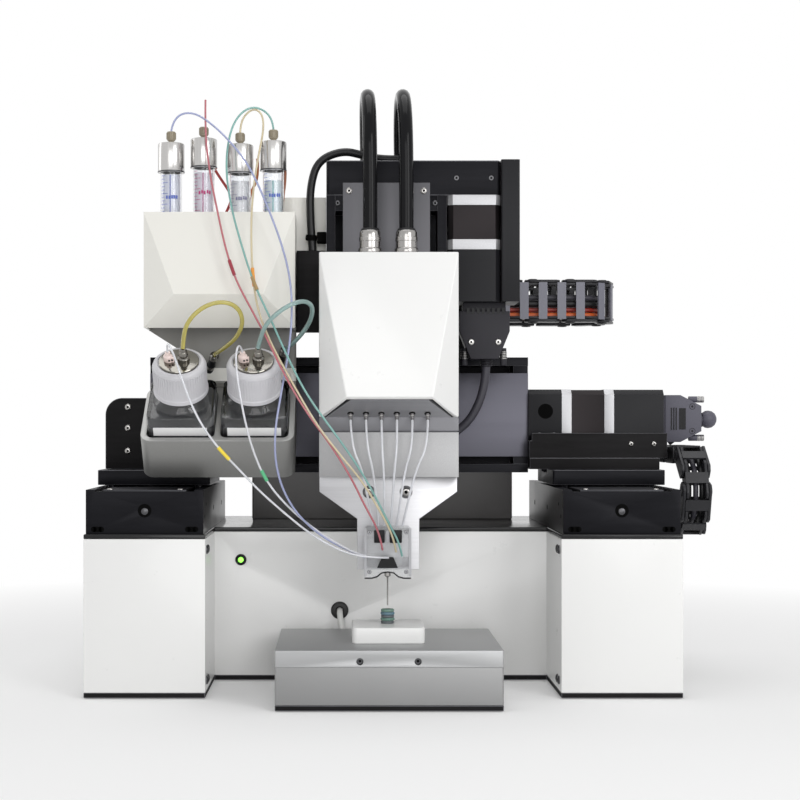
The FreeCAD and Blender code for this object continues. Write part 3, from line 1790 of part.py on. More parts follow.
doc.recompute()
faults = []
for thing in doc.Objects:
    if "Invalid" in thing.State or "Error" in thing.State:
        faults.append(f"{thing.Name} ({thing.Label}): {thing.State}")
for name, thing in nodes.items():
    shape = thing.Shape
    if shape.isNull() or not shape.isValid() or not shape.Solids:
        faults.append(f"{name}: no valid solid")
if faults:
    raise RuntimeError("; ".join(faults))

os.makedirs("parts", exist_ok=True)
for name, thing in nodes.items():
    thing.Shape.exportStep(f"parts/{name}.step")
    print(f"{name}: {len(thing.Shape.Solids)} solids, {thing.Shape.Volume / 1000:.1f} cm3")
print(f"{len(nodes)} sub-parts")
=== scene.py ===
import math
import random

import bmesh
import bpy
from mathutils import Matrix, Vector


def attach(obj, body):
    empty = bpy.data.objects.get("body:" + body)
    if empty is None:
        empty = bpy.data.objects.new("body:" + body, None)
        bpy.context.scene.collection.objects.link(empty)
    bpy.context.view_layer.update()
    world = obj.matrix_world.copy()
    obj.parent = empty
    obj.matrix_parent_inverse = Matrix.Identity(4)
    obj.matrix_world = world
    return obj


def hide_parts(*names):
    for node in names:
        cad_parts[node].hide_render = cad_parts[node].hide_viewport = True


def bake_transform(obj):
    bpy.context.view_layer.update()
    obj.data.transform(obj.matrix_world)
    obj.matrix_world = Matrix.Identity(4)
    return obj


# Looks of a desktop bioprinter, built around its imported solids. Lengths here are in millimetres
# in the solids' own frame and are turned into metres where a mesh or curve is made.

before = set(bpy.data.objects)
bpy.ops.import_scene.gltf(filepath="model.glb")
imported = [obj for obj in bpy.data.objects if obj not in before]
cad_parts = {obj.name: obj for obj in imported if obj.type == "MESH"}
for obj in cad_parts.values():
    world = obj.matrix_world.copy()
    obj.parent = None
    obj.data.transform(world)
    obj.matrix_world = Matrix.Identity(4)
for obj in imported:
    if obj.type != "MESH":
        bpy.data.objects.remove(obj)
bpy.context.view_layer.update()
MM = 0.001
X, Y, Z = Vector((1, 0, 0)), Vector((0, 1, 0)), Vector((0, 0, 1))
CARRIAGE = "cross_carriage"
chance = random.Random(7)


def placed(name, data):
    """A new object, linked into the scene."""
    obj = bpy.data.objects.new(name, data)
    bpy.context.collection.objects.link(obj)
    return obj


# Camera and light
PHOTO_WIDTH = 800
SENSOR = 36.0
FOCAL_PIXELS = 1572.0
EYE = (-30.0, -1200.0, 207.0)
EYE_LEVEL_PIXELS = (344.0, 427.0)
VIEW_DEPTH = 20
ROOM_LIGHT = 0.38
FLOOR_SIZE, FLOOR_DROP = 6, 0.0006
# Name, place, aim, size and power of each lamp, in metres and watts
LAMPS = (
    ("front_softbox", (-0.1, -2.1, 0.6), (0, 0, 0.12), (1.2, 1.0), 9),
    ("right_softbox", (0.9, -1.3, 0.75), (0, 0, 0.18), (0.7, 0.9), 8.5),
    ("overhead_softbox", (0, 0.1, 2.1), (0, 0.05, 0), (1.6, 1.6), 15),
    ("left_strip", (-1.7, 0.5, 0.7), (0, 0.1, 0.2), (0.5, 1.4), 4),
)


def camera():
    lens = bpy.data.cameras.new("photo_lens")
    lens.sensor_width = SENSOR
    lens.lens = FOCAL_PIXELS / PHOTO_WIDTH * SENSOR
    half = PHOTO_WIDTH / 2
    lens.shift_x = (half - EYE_LEVEL_PIXELS[0]) / PHOTO_WIDTH
    lens.shift_y = (EYE_LEVEL_PIXELS[1] - half) / PHOTO_WIDTH
    lens.clip_end = VIEW_DEPTH
    seat = placed("photo_camera", lens)
    seat.location = Vector(EYE) * MM
    seat.rotation_euler = (math.pi / 2, 0, 0)
    bpy.context.scene.camera = seat


def lamp(name, place, aim, size, power):
    light = bpy.data.lights.new(name, "AREA")
    light.shape = "RECTANGLE"
    light.size, light.size_y = size
    light.energy = power
    holder = placed(name, light)
    holder.location = place
    direction = Vector(aim) - Vector(place)
    holder.rotation_euler = direction.to_track_quat("-Z", "Y").to_euler()


def studio():
    """The lamps, a pale room that the camera sees as white, and the floor."""
    scene = bpy.context.scene
    scene.view_settings.view_transform = "Standard"
    for values in LAMPS:
        lamp(*values)
    world = bpy.data.worlds.new("pale_room")
    world.use_nodes = True
    scene.world = world
    nodes, links = world.node_tree.nodes, world.node_tree.links
    background = nodes["Background"]
    background.inputs["Strength"].default_value = ROOM_LIGHT
    background.inputs["Color"].default_value = (1, 1, 1, 1)
    bright = nodes.new("ShaderNodeBackground")
    bright.inputs["Color"].default_value = (1, 1, 1, 1)
    bright.inputs["Strength"].default_value = 1.0
    rays = nodes.new("ShaderNodeLightPath")
    seen = rays.outputs["Is Camera Ray"]
    for kind in ("Is Glossy Ray", "Is Transmission Ray"):
        either = nodes.new("ShaderNodeMath")
        either.operation = "MAXIMUM"
        links.new(seen, either.inputs[0])
        links.new(rays.outputs[kind], either.inputs[1])
        seen = either.outputs[0]
    choose = nodes.new("ShaderNodeMixShader")
    links.new(seen, choose.inputs[0])
    links.new(background.outputs[0], choose.inputs[1])
    links.new(bright.outputs[0], choose.inputs[2])
    links.new(choose.outputs[0], nodes["World Output"].inputs[0])
    floor = bpy.data.meshes.new("floor")
    form = bmesh.new()
    bmesh.ops.create_grid(form, x_segments=1, y_segments=1, size=FLOOR_SIZE)
    bmesh.ops.translate(form, verts=form.verts, vec=(0, 0, -FLOOR_DROP))
    form.to_mesh(floor)
    form.free()
    floor.materials.append(floor_finish().material)
    placed("floor", floor)


# Finishes: shader maths as Python expressions
class Field:
    """A value that varies over a surface, as one output socket of a material."""

    def __init__(self, finish, socket):
        self.finish = finish
        self.socket = socket

    def _maths(self, operation, first, second):
        return self.finish.node("Math", {"operation": operation}, {0: first, 1: second})

    def __add__(self, other):
        return self._maths("ADD", self, other)

    def __radd__(self, other):
        return self._maths("ADD", other, self)

    def __mul__(self, other):
        return self._maths("MULTIPLY", self, other)

    def __rmul__(self, other):
        return self._maths("MULTIPLY", other, self)

    def wave(self):
        return self._maths("SINE", self, 0.0)

    def clamped(self):
        return self.finish.node("Clamp", {}, {0: self})


class Finish:
    """A procedural material: a Principled shader and the nodes that vary it."""

    def __init__(self, name, color, roughness, metallic=0.0, **shader_values):
        self.material = bpy.data.materials.new(name)
        self.material.use_nodes = True
        self.tree = self.material.node_tree
        self.shader = self.tree.nodes["Principled BSDF"]
        self.set("Base Color", color)
        self.set("Roughness", roughness)
        self.set("Metallic", metallic)
        for key, value in shader_values.items():
            self.set(key.replace("_", " "), value)

    def set(self, name, value):
        self.plug(value, self.shader.inputs[name])

    def plug(self, value, socket):
        if isinstance(value, Field):
            self.tree.links.new(value.socket, socket)
        elif hasattr(value, "__len__") and len(value) == 3 and socket.type == "RGBA":
            socket.default_value = (*value, 1.0)
        else:
            socket.default_value = value

    def node(self, kind, settings, values, output=0):
        made = self.tree.nodes.new(f"ShaderNode{kind}")
        for key, value in settings.items():
            setattr(made, key, value)
        for key, value in values.items():
            self.plug(value, made.inputs[key])
        return Field(self, made.outputs[output])

    def place(self):
        return self.node("TexCoord", {}, {}, "Object")

    def stretched(self, scale):
        return self.node("Mapping", {}, {"Vector": self.place(), "Scale": scale})

    def noise(self, scale, detail=3.0, vector=None, rough=0.55):
        where = vector or self.place()
        values = {"Vector": where, "Scale": scale, "Detail": detail, "Roughness": rough}
        return self.node("TexNoise", {}, values, "Fac")

    def mix(self, share, first, second):
        settings = {"data_type": "RGBA"}
        return self.node("Mix", settings, {0: share, 6: first, 7: second}, 2)

    def bump(self, height, distance, strength=1.0):
        values = {"Height": height, "Distance": distance, "Strength": strength}
        self.set("Normal", self.node("Bump", {}, values))

    def axis(self, letter):
        return self.node("SeparateXYZ", {}, {0: self.place()}, letter)


def shade(color, factor):
    return tuple(min(1.0, c * factor) for c in color)


def enamel(name, color, roughness):
    """Sprayed enamel: a faint orange peel, slow drifts of tone and a little handling haze."""
    finish = Finish(name, color, roughness, Coat_Weight=0.25, Coat_Roughness=0.12)
    drift = finish.noise(9.0, 4.0)
    finish.set("Base Color", finish.mix(drift, shade(color, 0.97), color))
    haze = finish.noise(60.0, 5.0, rough=0.7)
    finish.set("Roughness", haze * 0.16 + (roughness - 0.08))
    finish.bump(finish.noise(900.0, 2.0), 0.00004)
    return finish


def anodised(name, color, roughness, gloss=0.08):
    """Dyed anodising over fine machining: satin, with faint handling marks."""
    finish = Finish(name, color, roughness, 0.25, Specular_IOR_Level=gloss)
    grain = finish.noise(30.0, 5.0, finish.stretched((1.0, 1.0, 9.0)))
    finish.set("Base Color", finish.mix(grain, shade(color, 0.75), shade(color, 1.5)))
    marks = finish.noise(14.0, 6.0, rough=0.8)
    finish.set("Roughness", marks * 0.22 + (roughness - 0.1))
    finish.bump(finish.noise(2600.0, 1.0), 0.000012)
    return finish


def blasted(name, color, roughness, grit=2400.0):
    """Bead-blasted aluminium: an even grain, with white specks mixed into its colour as painted glints."""
    finish = Finish(name, color, roughness, 0.78)
    grain = finish.noise(grit, 2.0)
    cloud = finish.noise(16.0, 4.0)
    tone = finish.mix(cloud, shade(color, 0.92), shade(color, 1.04))
    # The specks run from a darker grain tone up to white; the white end is a painted glint.
    grain_and_painted_glints = finish.mix(grain, shade(color, 0.8), (1.0, 1.0, 1.0))
    finish.set("Base Color", finish.mix(0.25, tone, grain_and_painted_glints))
    finish.set("Roughness", grain * 0.2 + (roughness - 0.1))
    finish.bump(grain, 0.00003)
    return finish


def brushed(name, color, along, roughness, grain_scale, depth=0.00001):
    """Metal with fine lines along one axis."""
    finish = Finish(name, color, roughness, 1.0)
    scale = [1.0, 1.0, 1.0]
    scale["xyz".index(along)] = 0.02
    lines = finish.noise(grain_scale, 4.0, finish.stretched(tuple(scale)))
    finish.set("Base Color", finish.mix(lines, shade(color, 0.86), shade(color, 1.1)))
    finish.set("Roughness", lines * 0.2 + (roughness - 0.1))
    finish.bump(lines, depth)
    return finish


def moulded(name, color, roughness, grain_scale=1400.0, depth=0.00003, **values):
    """Moulded plastic with a fine spark-eroded grain."""
    finish = Finish(name, color, roughness, **values)
    grain = finish.noise(grain_scale, 2.0)
    wear = finish.noise(22.0, 5.0, rough=0.7)
    finish.set("Base Color", finish.mix(wear, shade(color, 0.88), shade(color, 1.12)))
    finish.set("Roughness", wear * 0.18 + (roughness - 0.09))
    finish.bump(grain, depth)
    return finish


def clear_plastic(name, color, roughness=0.04, index=1.47, haze=0.05):
    """Clear glass or plastic with faint flow lines."""
    finish = Finish(name, color, roughness, Transmission_Weight=1.0, IOR=index)
    flow = finish.noise(24.0, 3.0)
    finish.set("Roughness", flow * haze + roughness)
    finish.bump(flow, 0.0002, 0.25)
    return finish


white_enamel = enamel("white_enamel", (0.84, 0.84, 0.83), 0.3)
warm_enamel = enamel("warm_white_enamel", (0.80, 0.79, 0.74), 0.36)
black_satin = anodised("black_anodising", (0.009, 0.009, 0.011), 0.38)
# A paler copy of the black anodising for the stages' flanks: painted sheen.
black_flank_painted_sheen = anodised("black_anodised_flank_painted_sheen", (0.026, 0.025, 0.026), 0.34, 0.6)
black_matte = anodised("matt_black_anodising", (0.012, 0.0115, 0.012), 0.55)
# A lighter finish for the bevels of black anodised parts: a painted edge highlight.
painted_edge_highlight = anodised("black_edge_painted_highlight", (0.07, 0.07, 0.078), 0.3, 0.5)
grey_strip = brushed("rolled_steel_strip", (0.105, 0.104, 0.112), "z", 0.42, 220.0)
# A darker copy of the steel strip for the Y strips: painted shade.
y_strip_painted_shade = brushed("shaded_steel_strip", (0.05, 0.05, 0.055), "y", 0.5, 220.0)
grey_strip_x = brushed("cross_stage_strip", (0.08, 0.079, 0.094), "x", 0.42, 220.0)
black_gloss = moulded("black_gloss_sheet", (0.010, 0.010, 0.011), 0.16, Specular_IOR_Level=0.3)
# The control box's dark enamel, lightened by a painted sheen for the white that its gloss reflects.
box_enamel_painted_sheen = moulded("control_box_enamel_painted_sheen", (0.20, 0.192, 0.19), 0.24, Specular_IOR_Level=0.6)
# Near-black paint: painted shade inside sockets, hole mouths, counterbores and slots; the cable-tie mount
# and its strap take it as their own black.
hole_shade_and_tie_black = moulded("painted_hole_shade_and_black_tie", (0.004, 0.004, 0.004), 0.9, Specular_IOR_Level=0.02)
blasted_bed = blasted("blasted_bed", (0.33, 0.335, 0.34), 0.46, 3000.0)
blasted_block = blasted("blasted_bed_block", (0.185, 0.186, 0.187), 0.46, 3000.0)
tray_metal = blasted("tray_metal", (0.36, 0.36, 0.35), 0.5, 3200.0)
bright_steel = brushed("turned_steel", (0.36, 0.35, 0.34), "z", 0.2, 900.0)
# Dark steel of screw heads, nuts and cap rims; the nozzle plate's screw rings take it as painted shade of
# their counterbores.
dark_steel_and_recess_shade = brushed("blackened_steel_and_painted_recess_shade", (0.09, 0.09, 0.095), "z", 0.35, 700.0)
zinc = brushed("zinc_plate", (0.60, 0.59, 0.57), "x", 0.32, 500.0)
polished = brushed("polished_steel", (0.22, 0.21, 0.19), "x", 0.12, 300.0, 0.000002)
cast_band = blasted("bare_end_bell", (0.34, 0.34, 0.355), 0.45, 1800.0)
motor_stack = brushed("motor_laminations", (0.026, 0.023, 0.024), "y", 0.5, 1500.0, 0.00002)
black_plastic = moulded("black_plastic", (0.012, 0.012, 0.014), 0.4, Specular_IOR_Level=0.15)
chain_plastic = moulded("chain_plastic", (0.022, 0.022, 0.025), 0.38, 900.0, Specular_IOR_Level=0.25)
# A pale lilac grey for the chain plates' undersides: painted sheen on black chain plastic.
chain_plates_painted_sheen = moulded("chain_plate_undersides_painted_sheen", (0.15, 0.15, 0.185), 0.34, 900.0)
hood_plastic = moulded("plug_hood", (0.075, 0.073, 0.098), 0.55, 1800.0)
dark_hood = moulded("dark_plug_hood", (0.024, 0.023, 0.028), 0.5, 1800.0, Specular_IOR_Level=0.2)
white_plastic = moulded("white_plastic", (0.82, 0.82, 0.82), 0.35)
frosted_plastic = moulded("frosted_cap", (0.58, 0.575, 0.60), 0.42, 700.0)
tan_plastic = moulded("tan_fitting", (0.30, 0.26, 0.19), 0.45)
pink_plastic = moulded("pale_fitting", (0.80, 0.66, 0.62), 0.4)
hose_rubber = moulded("hose_rubber", (0.006, 0.006, 0.007), 0.14, 300.0, 0.000008, Specular_IOR_Level=0.12)
cable_sheath = moulded("cable_sheath", (0.012, 0.012, 0.013), 0.34, 800.0, Specular_IOR_Level=0.25)
grey_sheath = moulded("grey_cable_sheath", (0.05, 0.048, 0.06), 0.42, 800.0, Specular_IOR_Level=0.3)
white_sheath = moulded("white_cable_sheath", (0.72, 0.72, 0.7), 0.4, 800.0)
grommet_rubber = moulded("grommet_rubber", (0.018, 0.018, 0.018), 0.6)
bottle_glass = clear_plastic("bottle_glass", (0.93, 0.95, 0.95))
tube_wall = clear_plastic("tube_wall", (0.93, 0.94, 0.96), 0.08, 1.4, 0.1)
cartridge_clear = moulded("cartridge_clear", (0.86, 0.88, 0.92), 0.12, 400.0, 0.00001, Alpha=0.22)
# Black rubber of seals and collars; the same paint is painted shade in port mouths, contact slots, and the
# sockets and counterbores of small screws.
black_seal_and_hole_shade = moulded("black_gasket_and_painted_hole_shade", (0.008, 0.008, 0.009), 0.35, Specular_IOR_Level=0.2)


def line_finish(name, color, clear):
    """A fine fluid line: a coloured core seen through a clear wall."""
    finish = Finish(name, color, 0.22, Coat_Weight=0.6, Coat_Roughness=0.05)
    finish.set("Transmission Weight", clear)
    finish.set("IOR", 1.38)
    drift = finish.noise(70.0, 3.0)
    finish.set("Base Color", finish.mix(drift, shade(color, 0.85), shade(color, 1.15)))
    return finish


blue_line = line_finish("blue_line", (0.44, 0.48, 0.72), 0.35)
red_line = line_finish("red_line", (0.55, 0.17, 0.20), 0.2)
cream_line = line_finish("cream_line", (0.76, 0.66, 0.45), 0.3)
teal_line = line_finish("teal_line", (0.25, 0.50, 0.46), 0.25)
clear_line = line_finish("clear_line", (0.82, 0.83, 0.87), 0.3)
yellow_tube = line_finish("yellow_tube", (0.62, 0.55, 0.15), 0.45)
aqua_tube = line_finish("aqua_tube", (0.36, 0.52, 0.50), 0.5)


def lamp_lens():
    finish = Finish("green_lens", (0.25, 0.8, 0.12), 0.2, Coat_Weight=0.8)
    glow = finish.noise(600.0, 2.0)
    finish.set("Emission Color", finish.mix(glow, (0.15, 0.9, 0.05), (0.6, 1.0, 0.2)))
    finish.set("Emission Strength", 1.3)
    return finish


def liquid(name, color):
    """The coloured fill seen through a sample tube."""
    finish = Finish(name, color, 0.25, Coat_Weight=0.5)
    cloud = finish.noise(40.0, 3.0)
    finish.set("Base Color", finish.mix(cloud, shade(color, 0.94), shade(color, 1.05)))
    return finish


green_lens = lamp_lens()


def floor_finish():
    """Matt paper that takes the machine's shadow and runs out into the white background."""
    finish = Finish("pale_floor", (0.92, 0.92, 0.92), 0.9)
    across = finish.axis("X")
    away = finish.axis("Y")
    distance = (across * across + away * away) * 0.9
    glow = finish.node("Emission", {}, {"Color": (1.0, 1.0, 1.0), "Strength": 1.0})
    output = finish.tree.nodes["Material Output"]
    blend = finish.node("MixShader", {}, {0: (distance + 0.12).clamped(), 2: glow})
    finish.tree.links.new(finish.shader.outputs[0], blend.socket.node.inputs[1])
    finish.tree.links.new(blend.socket, output.inputs[0])
    return finish


# Shapes: each starts from a bmesh operator and ends as one piece of the machine
SHARP_ANGLE = 35.0
# Paint indexes of screws and marks: 0 is a piece's first finish; HOLLOW is a dark paint, painted shade
# inside sockets, hole mouths, counterbores and slots, and the own black of a few small parts
HOLLOW, BRIGHT = 1, 2
# How deep a screw head or the mouth of a hole sits in its face
SEAT = 0.3


def free_piece(name, form, finish, replaces=()):
    """Turns a form in millimetres into a piece that isn't tied to a body yet."""
    bmesh.ops.scale(form, verts=form.verts, vec=(MM, MM, MM))
    mesh = bpy.data.meshes.new(name)
    form.to_mesh(mesh)
    form.free()
    for each in finish if isinstance(finish, tuple) else (finish,):
        mesh.materials.append(each.material)
    obj = placed(name, mesh)
    if replaces:
        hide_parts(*replaces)
    return obj


def piece(name, form, finish, body, replaces=()):
    """Turns a form in millimetres into a piece that rides on a body."""
    obj = free_piece(name, form, finish, replaces)
    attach(obj, body)
    return obj


def creased(name, form, finish, body, replaces=(), angle=SHARP_ANGLE):
    crease(piece(name, form, finish, body, replaces), angle)


def soften(obj, width, segments, angle=SHARP_ANGLE):
    """Rounds a piece's sharp edges by a small radius and shades them evenly."""
    bevel = obj.modifiers.new("soft_edges", "BEVEL")
    bevel.width = width * MM
    bevel.segments = segments
    bevel.limit_method = "ANGLE"
    bevel.angle_limit = math.radians(angle)
    bevel.harden_normals = True
    for face in obj.data.polygons:
        face.use_smooth = True


def crease(obj, angle=SHARP_ANGLE):
    """Smooth shading that keeps sharp edges sharp."""
    for face in obj.data.polygons:
        face.use_smooth = True
    obj.data.set_sharp_from_angle(angle=math.radians(angle))


def box_in(form, low, high, paint=0):
    """Adds a block between two corners."""
    low, high = Vector(low), Vector(high)
    made = bmesh.ops.create_cube(form, size=1)["verts"]
    bmesh.ops.scale(form, verts=made, vec=high - low)
    bmesh.ops.translate(form, verts=made, vec=(low + high) / 2)
    paint_faces(made, paint)
    return made


def paint_faces(verts, paint):
    for face in {f for v in verts for f in v.link_faces}:
        face.material_index = paint


def turn_to(direction):
    return Vector(direction).to_track_quat("Z", "Y").to_matrix()


def rod_in(form, start, end, radius, sides, paint=0):
    """Adds a round bar between two points."""
    start, end = Vector(start), Vector(end)
    made = bmesh.ops.create_cone(
        form,
        cap_ends=True,
        segments=sides,
        radius1=radius,
        radius2=radius,
        depth=(end - start).length,
    )["verts"]
    bmesh.ops.rotate(form, verts=made, cent=(0, 0, 0), matrix=turn_to(end - start))
    bmesh.ops.translate(form, verts=made, vec=(start + end) / 2)
    paint_faces(made, paint)


def lathe_in(form, profile, base, along, sides, paint=0):
    """Adds a turned shape: (radius, height) corners spun about an axis from a base point."""
    before = set(form.verts)
    corners = [form.verts.new((radius, 0, height)) for radius, height in profile]
    edges = [form.edges.new(pair) for pair in zip(corners, corners[1:])]
    bmesh.ops.spin(
        form,
        geom=corners + edges,
        cent=(0, 0, 0),
        axis=(0, 0, 1),
        angle=math.tau,
        steps=sides,
        use_merge=True,
    )
    made = [v for v in form.verts if v not in before]
    bmesh.ops.remove_doubles(form, verts=made, dist=1e-5)
    made = [v for v in form.verts if v not in before]
    faces = list({f for v in made for f in v.link_faces})
    bmesh.ops.recalc_face_normals(form, faces=faces)
    bmesh.ops.rotate(form, verts=made, cent=(0, 0, 0), matrix=turn_to(along))
    bmesh.ops.translate(form, verts=made, vec=base)
    paint_faces(made, paint)


def seam_in(form, spot, normal):
    """Cuts a form's faces along a plane, so that each side can take its own finish."""
    geometry = form.verts[:] + form.edges[:] + form.faces[:]
    bmesh.ops.bisect_plane(form, geom=geometry, plane_co=spot, plane_no=normal)


def edges_of(verts):
    return list(dict.fromkeys(e for v in verts for e in v.link_edges))


def round_in(form, edges, offset, segments=2):
    """Rounds some of a form's edges."""
    bmesh.ops.bevel(
        form, geom=edges, offset=offset, segments=segments, affect="EDGES", profile=0.5, material=-1
    )


def button_screw_in(form, spot, along, radius, rise, paint=0):
    """A button-head screw with its hexagon socket, standing on a face; the socket is a dark hexagon of
    painted shade.
    """
    spot, along = Vector(spot), Vector(along).normalized()
    profile = [(0, -0.4), (radius, -0.4), (radius, rise * 0.25), (radius * 0.9, rise * 0.65)]
    profile += [(radius * 0.66, rise * 0.93), (radius * 0.5, rise), (0, rise)]
    lathe_in(form, profile, spot, along, 20, paint)
    socket = spot + along * (rise + 0.02)
    rod_in(form, socket - along * 0.25, socket, radius * 0.42, 6, HOLLOW)


def cap_screw_in(form, spot, along, radius):
    """A socket-head screw in its counterbore: a dark ring of painted shade for the counterbore, the head,
    and its socket painted dark as shade.
    """
    spot, along = Vector(spot), Vector(along).normalized()
    for rise, share, sides, paint in ((0.03, 1.22, 24, HOLLOW), (0.12, 1.0, 24, 0), (0.16, 0.5, 6, HOLLOW)):
        rod_in(form, spot - along * SEAT, spot + along * rise, radius * share, sides, paint)


def hole_in(form, spot, along, radius, paint=HOLLOW):
    """The mouth of a hole, a hair proud of its face: a dark disc of painted shade for the hole's inside."""
    spot, along = Vector(spot), Vector(along).normalized()
    rod_in(form, spot - along * SEAT, spot + along * 0.05, radius, 24, paint)


def solid_copy(node):
    """A CAD node's mesh in millimetres, its loose triangles merged into whole faces."""
    form = bmesh.new()
    form.from_mesh(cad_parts[node].data)
    bmesh.ops.scale(form, verts=form.verts, vec=(1 / MM, 1 / MM, 1 / MM))
    bmesh.ops.remove_doubles(form, verts=form.verts, dist=0.002)
    bmesh.ops.dissolve_limit(form, angle_limit=math.radians(0.8), verts=form.verts, edges=form.edges)
    return form


def finish_node(node, finish):
    """Gives a CAD node its finish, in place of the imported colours."""
    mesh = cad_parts[node].data
    mesh.materials.clear()
    mesh.materials.append(finish.material)


# Cords: the routes of the solids, as smooth splines
def spline(name, route, radius):
    """A curve whose control points are the route's points."""
    line = bpy.data.curves.new(name, "CURVE")
    line.dimensions = "3D"
    line.resolution_u = 8
    run = line.splines.new("NURBS")
    run.points.add(len(route) - 1)
    for spot, (x, y, z) in zip(run.points, route):
        spot.co = (x * MM, y * MM, z * MM, 1)
    run.order_u = 3
    run.use_endpoint_u = True
    line.bevel_depth = radius * MM
    line.bevel_resolution = 5
    line.use_fill_caps = True
    return line


def centreline(name, route):
    """The points that a route's smooth spline follows, in metres, and its length."""
    bare = placed(name, spline(name, route, 0))
    bpy.context.view_layer.update()
    mesh = bpy.data.meshes.new_from_object(bare)
    points = [v.co.copy() for v in mesh.vertices]
    bpy.data.objects.remove(bare)
    bpy.data.meshes.remove(mesh)
    length = sum((b - a).length for a, b in zip(points, points[1:]))
    return points, length


def fixed_cord(name, route, radius, finish, body, slot, replaces=()):
    """A cord whose both ends belong to one body."""
    points, length = centreline(name + "_line", route)
    obj = placed(name, spline(name, route, radius))
    obj.data.materials.append(finish.material)
    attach(obj, body)
    if replaces:
        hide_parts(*replaces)
    2 * radius * MM


def swept(name, route, radius, finish):
    """A cord's tube as a plain mesh."""
    tube = placed(name, spline(name, route, radius))
    bpy.context.view_layer.update()
    mesh = bpy.data.meshes.new_from_object(tube)
    bpy.data.objects.remove(tube)
    mesh.materials.clear()
    mesh.materials.append(finish.material)
    obj = placed(name, mesh)
    for face in mesh.polygons:
        face.use_smooth = True
    return obj


def crossing_cord(name, route, radius, finish, replaces):
    """A cord that runs between the cross carriage and the head, as a plain mesh in the place of its solid.
    """
    path, length = centreline(name + "_line", route)
    obj = swept(name, route, radius, finish)
    if replaces:
        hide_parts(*replaces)
    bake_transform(obj)
    return path


# Places of the reservoir tray, which leans back
TRAY_FRONT, TRAY_LOW, TRAY_TILT = 16.2, 167.9, math.radians(38)
TRAY_DEPTH, TRAY_HEIGHT, TRAY_WALL = 68.0, 36.0, 4.5
TRAY_MIDDLE = (-126.75, TRAY_DEPTH / 2)
BOTTLE_STEP = 28.25
BOTTLE_RISE, CAP_RISE = 54.5, 27.0
CAP_TOP = TRAY_WALL + BOTTLE_RISE + CAP_RISE
BARB, BARB_ACROSS = 12.0, 3.8
PLUG, PLUG_ACROSS = 8.6, -8.0
lean = Matrix.Rotation(TRAY_TILT, 3, "X")


def in_tray(x, depth, rise):
    """A point of the tray's own frame as a point of the machine."""
    spot = lean @ Vector((x, depth, rise))
    return spot + Vector((0, TRAY_FRONT, TRAY_LOW))


def on_bottle(side, across, rise):
    """A point over one of the two bottle caps."""
    x = TRAY_MIDDLE[0] + side * BOTTLE_STEP + across
    return tuple(in_tray(x, TRAY_MIDDLE[1], CAP_TOP + rise))


TUBE_PLACES = (-165.6, -140.0, -111.5, -85.4)
TUBE_Y = 34.0

FLUID_ROUTES = {
    "blue_fluid_line": [
        (-165.6, 34, 438.9), (-164.6, 33.4, 445.5), (-158, 31, 452.5), (-147, 28, 452.5),
        (-135, 23, 444.5), (-121, 15, 431), (-104, 7, 410), (-90, 2, 380), (-75, -4, 340),
        (-69, -11, 308), (-70, -19, 272), (-77, -28, 232), (-82, -33, 200), (-80, -31, 172),
        (-70, -26, 148), (-54, -19, 130), (-34, -10, 116.5), (-14.2, 2.6, 107.4),
    ],
    "red_fluid_line": [
        (-138.2, 28, 462.4), (-138.1, 22, 437), (-134, 16, 404), (-128, 8, 376),
        (-120.5, 0, 343), (-112, -8, 318), (-100, -16, 296), (-87, -24, 272), (-75, -31, 247),
        (-60, -35, 221), (-40, -34, 194), (-25, -28, 170), (-14, -18, 147), (-3, -6, 127),
        (-0.5, 2.7, 113),
    ],
    "cream_fluid_line": [
        (-111.5, 34, 437.9), (-111.2, 33.4, 444.5), (-107.5, 32, 452), (-100, 30, 456.5),
        (-93.5, 27, 451), (-92.5, 24, 438), (-97, 18, 414), (-100.8, 10, 382), (-101.1, 2, 353),
        (-99.5, -6, 322), (-95, -15, 294), (-84, -25, 268), (-68, -33, 239), (-50, -36, 208),
        (-31, -33, 184), (-16, -27, 166), (-3, -16, 144), (8, -4, 123), (9.8, 2.7, 111.5),
    ],
    "teal_fluid_line": [
        (-85.4, 34, 440.3), (-86, 33, 447.5), (-92, 31, 455), (-102, 28, 457.5),
        (-112, 24.5, 450.5), (-119, 20, 435), (-121.5, 13, 408), (-117, 5, 377), (-108, -4, 345),
        (-98, -13, 315), (-85, -22, 288), (-73, -31, 261), (-58, -37, 231), (-38, -37, 204),
        (-21, -31, 180), (-8, -22, 158), (4, -10, 134), (12.5, -2.5, 118), (14.4, 2.7, 108.3),
    ],
    "left_bottle_line": [
        on_bottle(-1, PLUG_ACROSS, PLUG + 0.3),
        (-163.2, -19, 268.5), (-161, -27, 269), (-156, -32.5, 260), (-149, -35, 239),
        (-140, -36, 216), (-126, -33, 194), (-108, -28.5, 175), (-92, -25.5, 158),
        (-74, -22.5, 142), (-56, -18, 127), (-38, -12.5, 116), (-22, -8, 109.5), (-4, -3, 107.5),
        (4, 2.6, 107),
    ],
    "right_bottle_line": [
        on_bottle(1, PLUG_ACROSS, PLUG + 0.3),
        (-107.5, -20.5, 268), (-109.5, -28, 267), (-110.5, -33.5, 258), (-108.5, -36, 240),
        (-104, -36, 214), (-98, -33, 190), (-88, -28, 166), (-71, -23, 146), (-51, -17, 129),
        (-32, -10, 117), (-19, -4.5, 110), (-13.8, 2.7, 108.9),
    ],
}
FLUID_FINISHES = (blue_line, red_line, cream_line, teal_line, clear_line, clear_line)

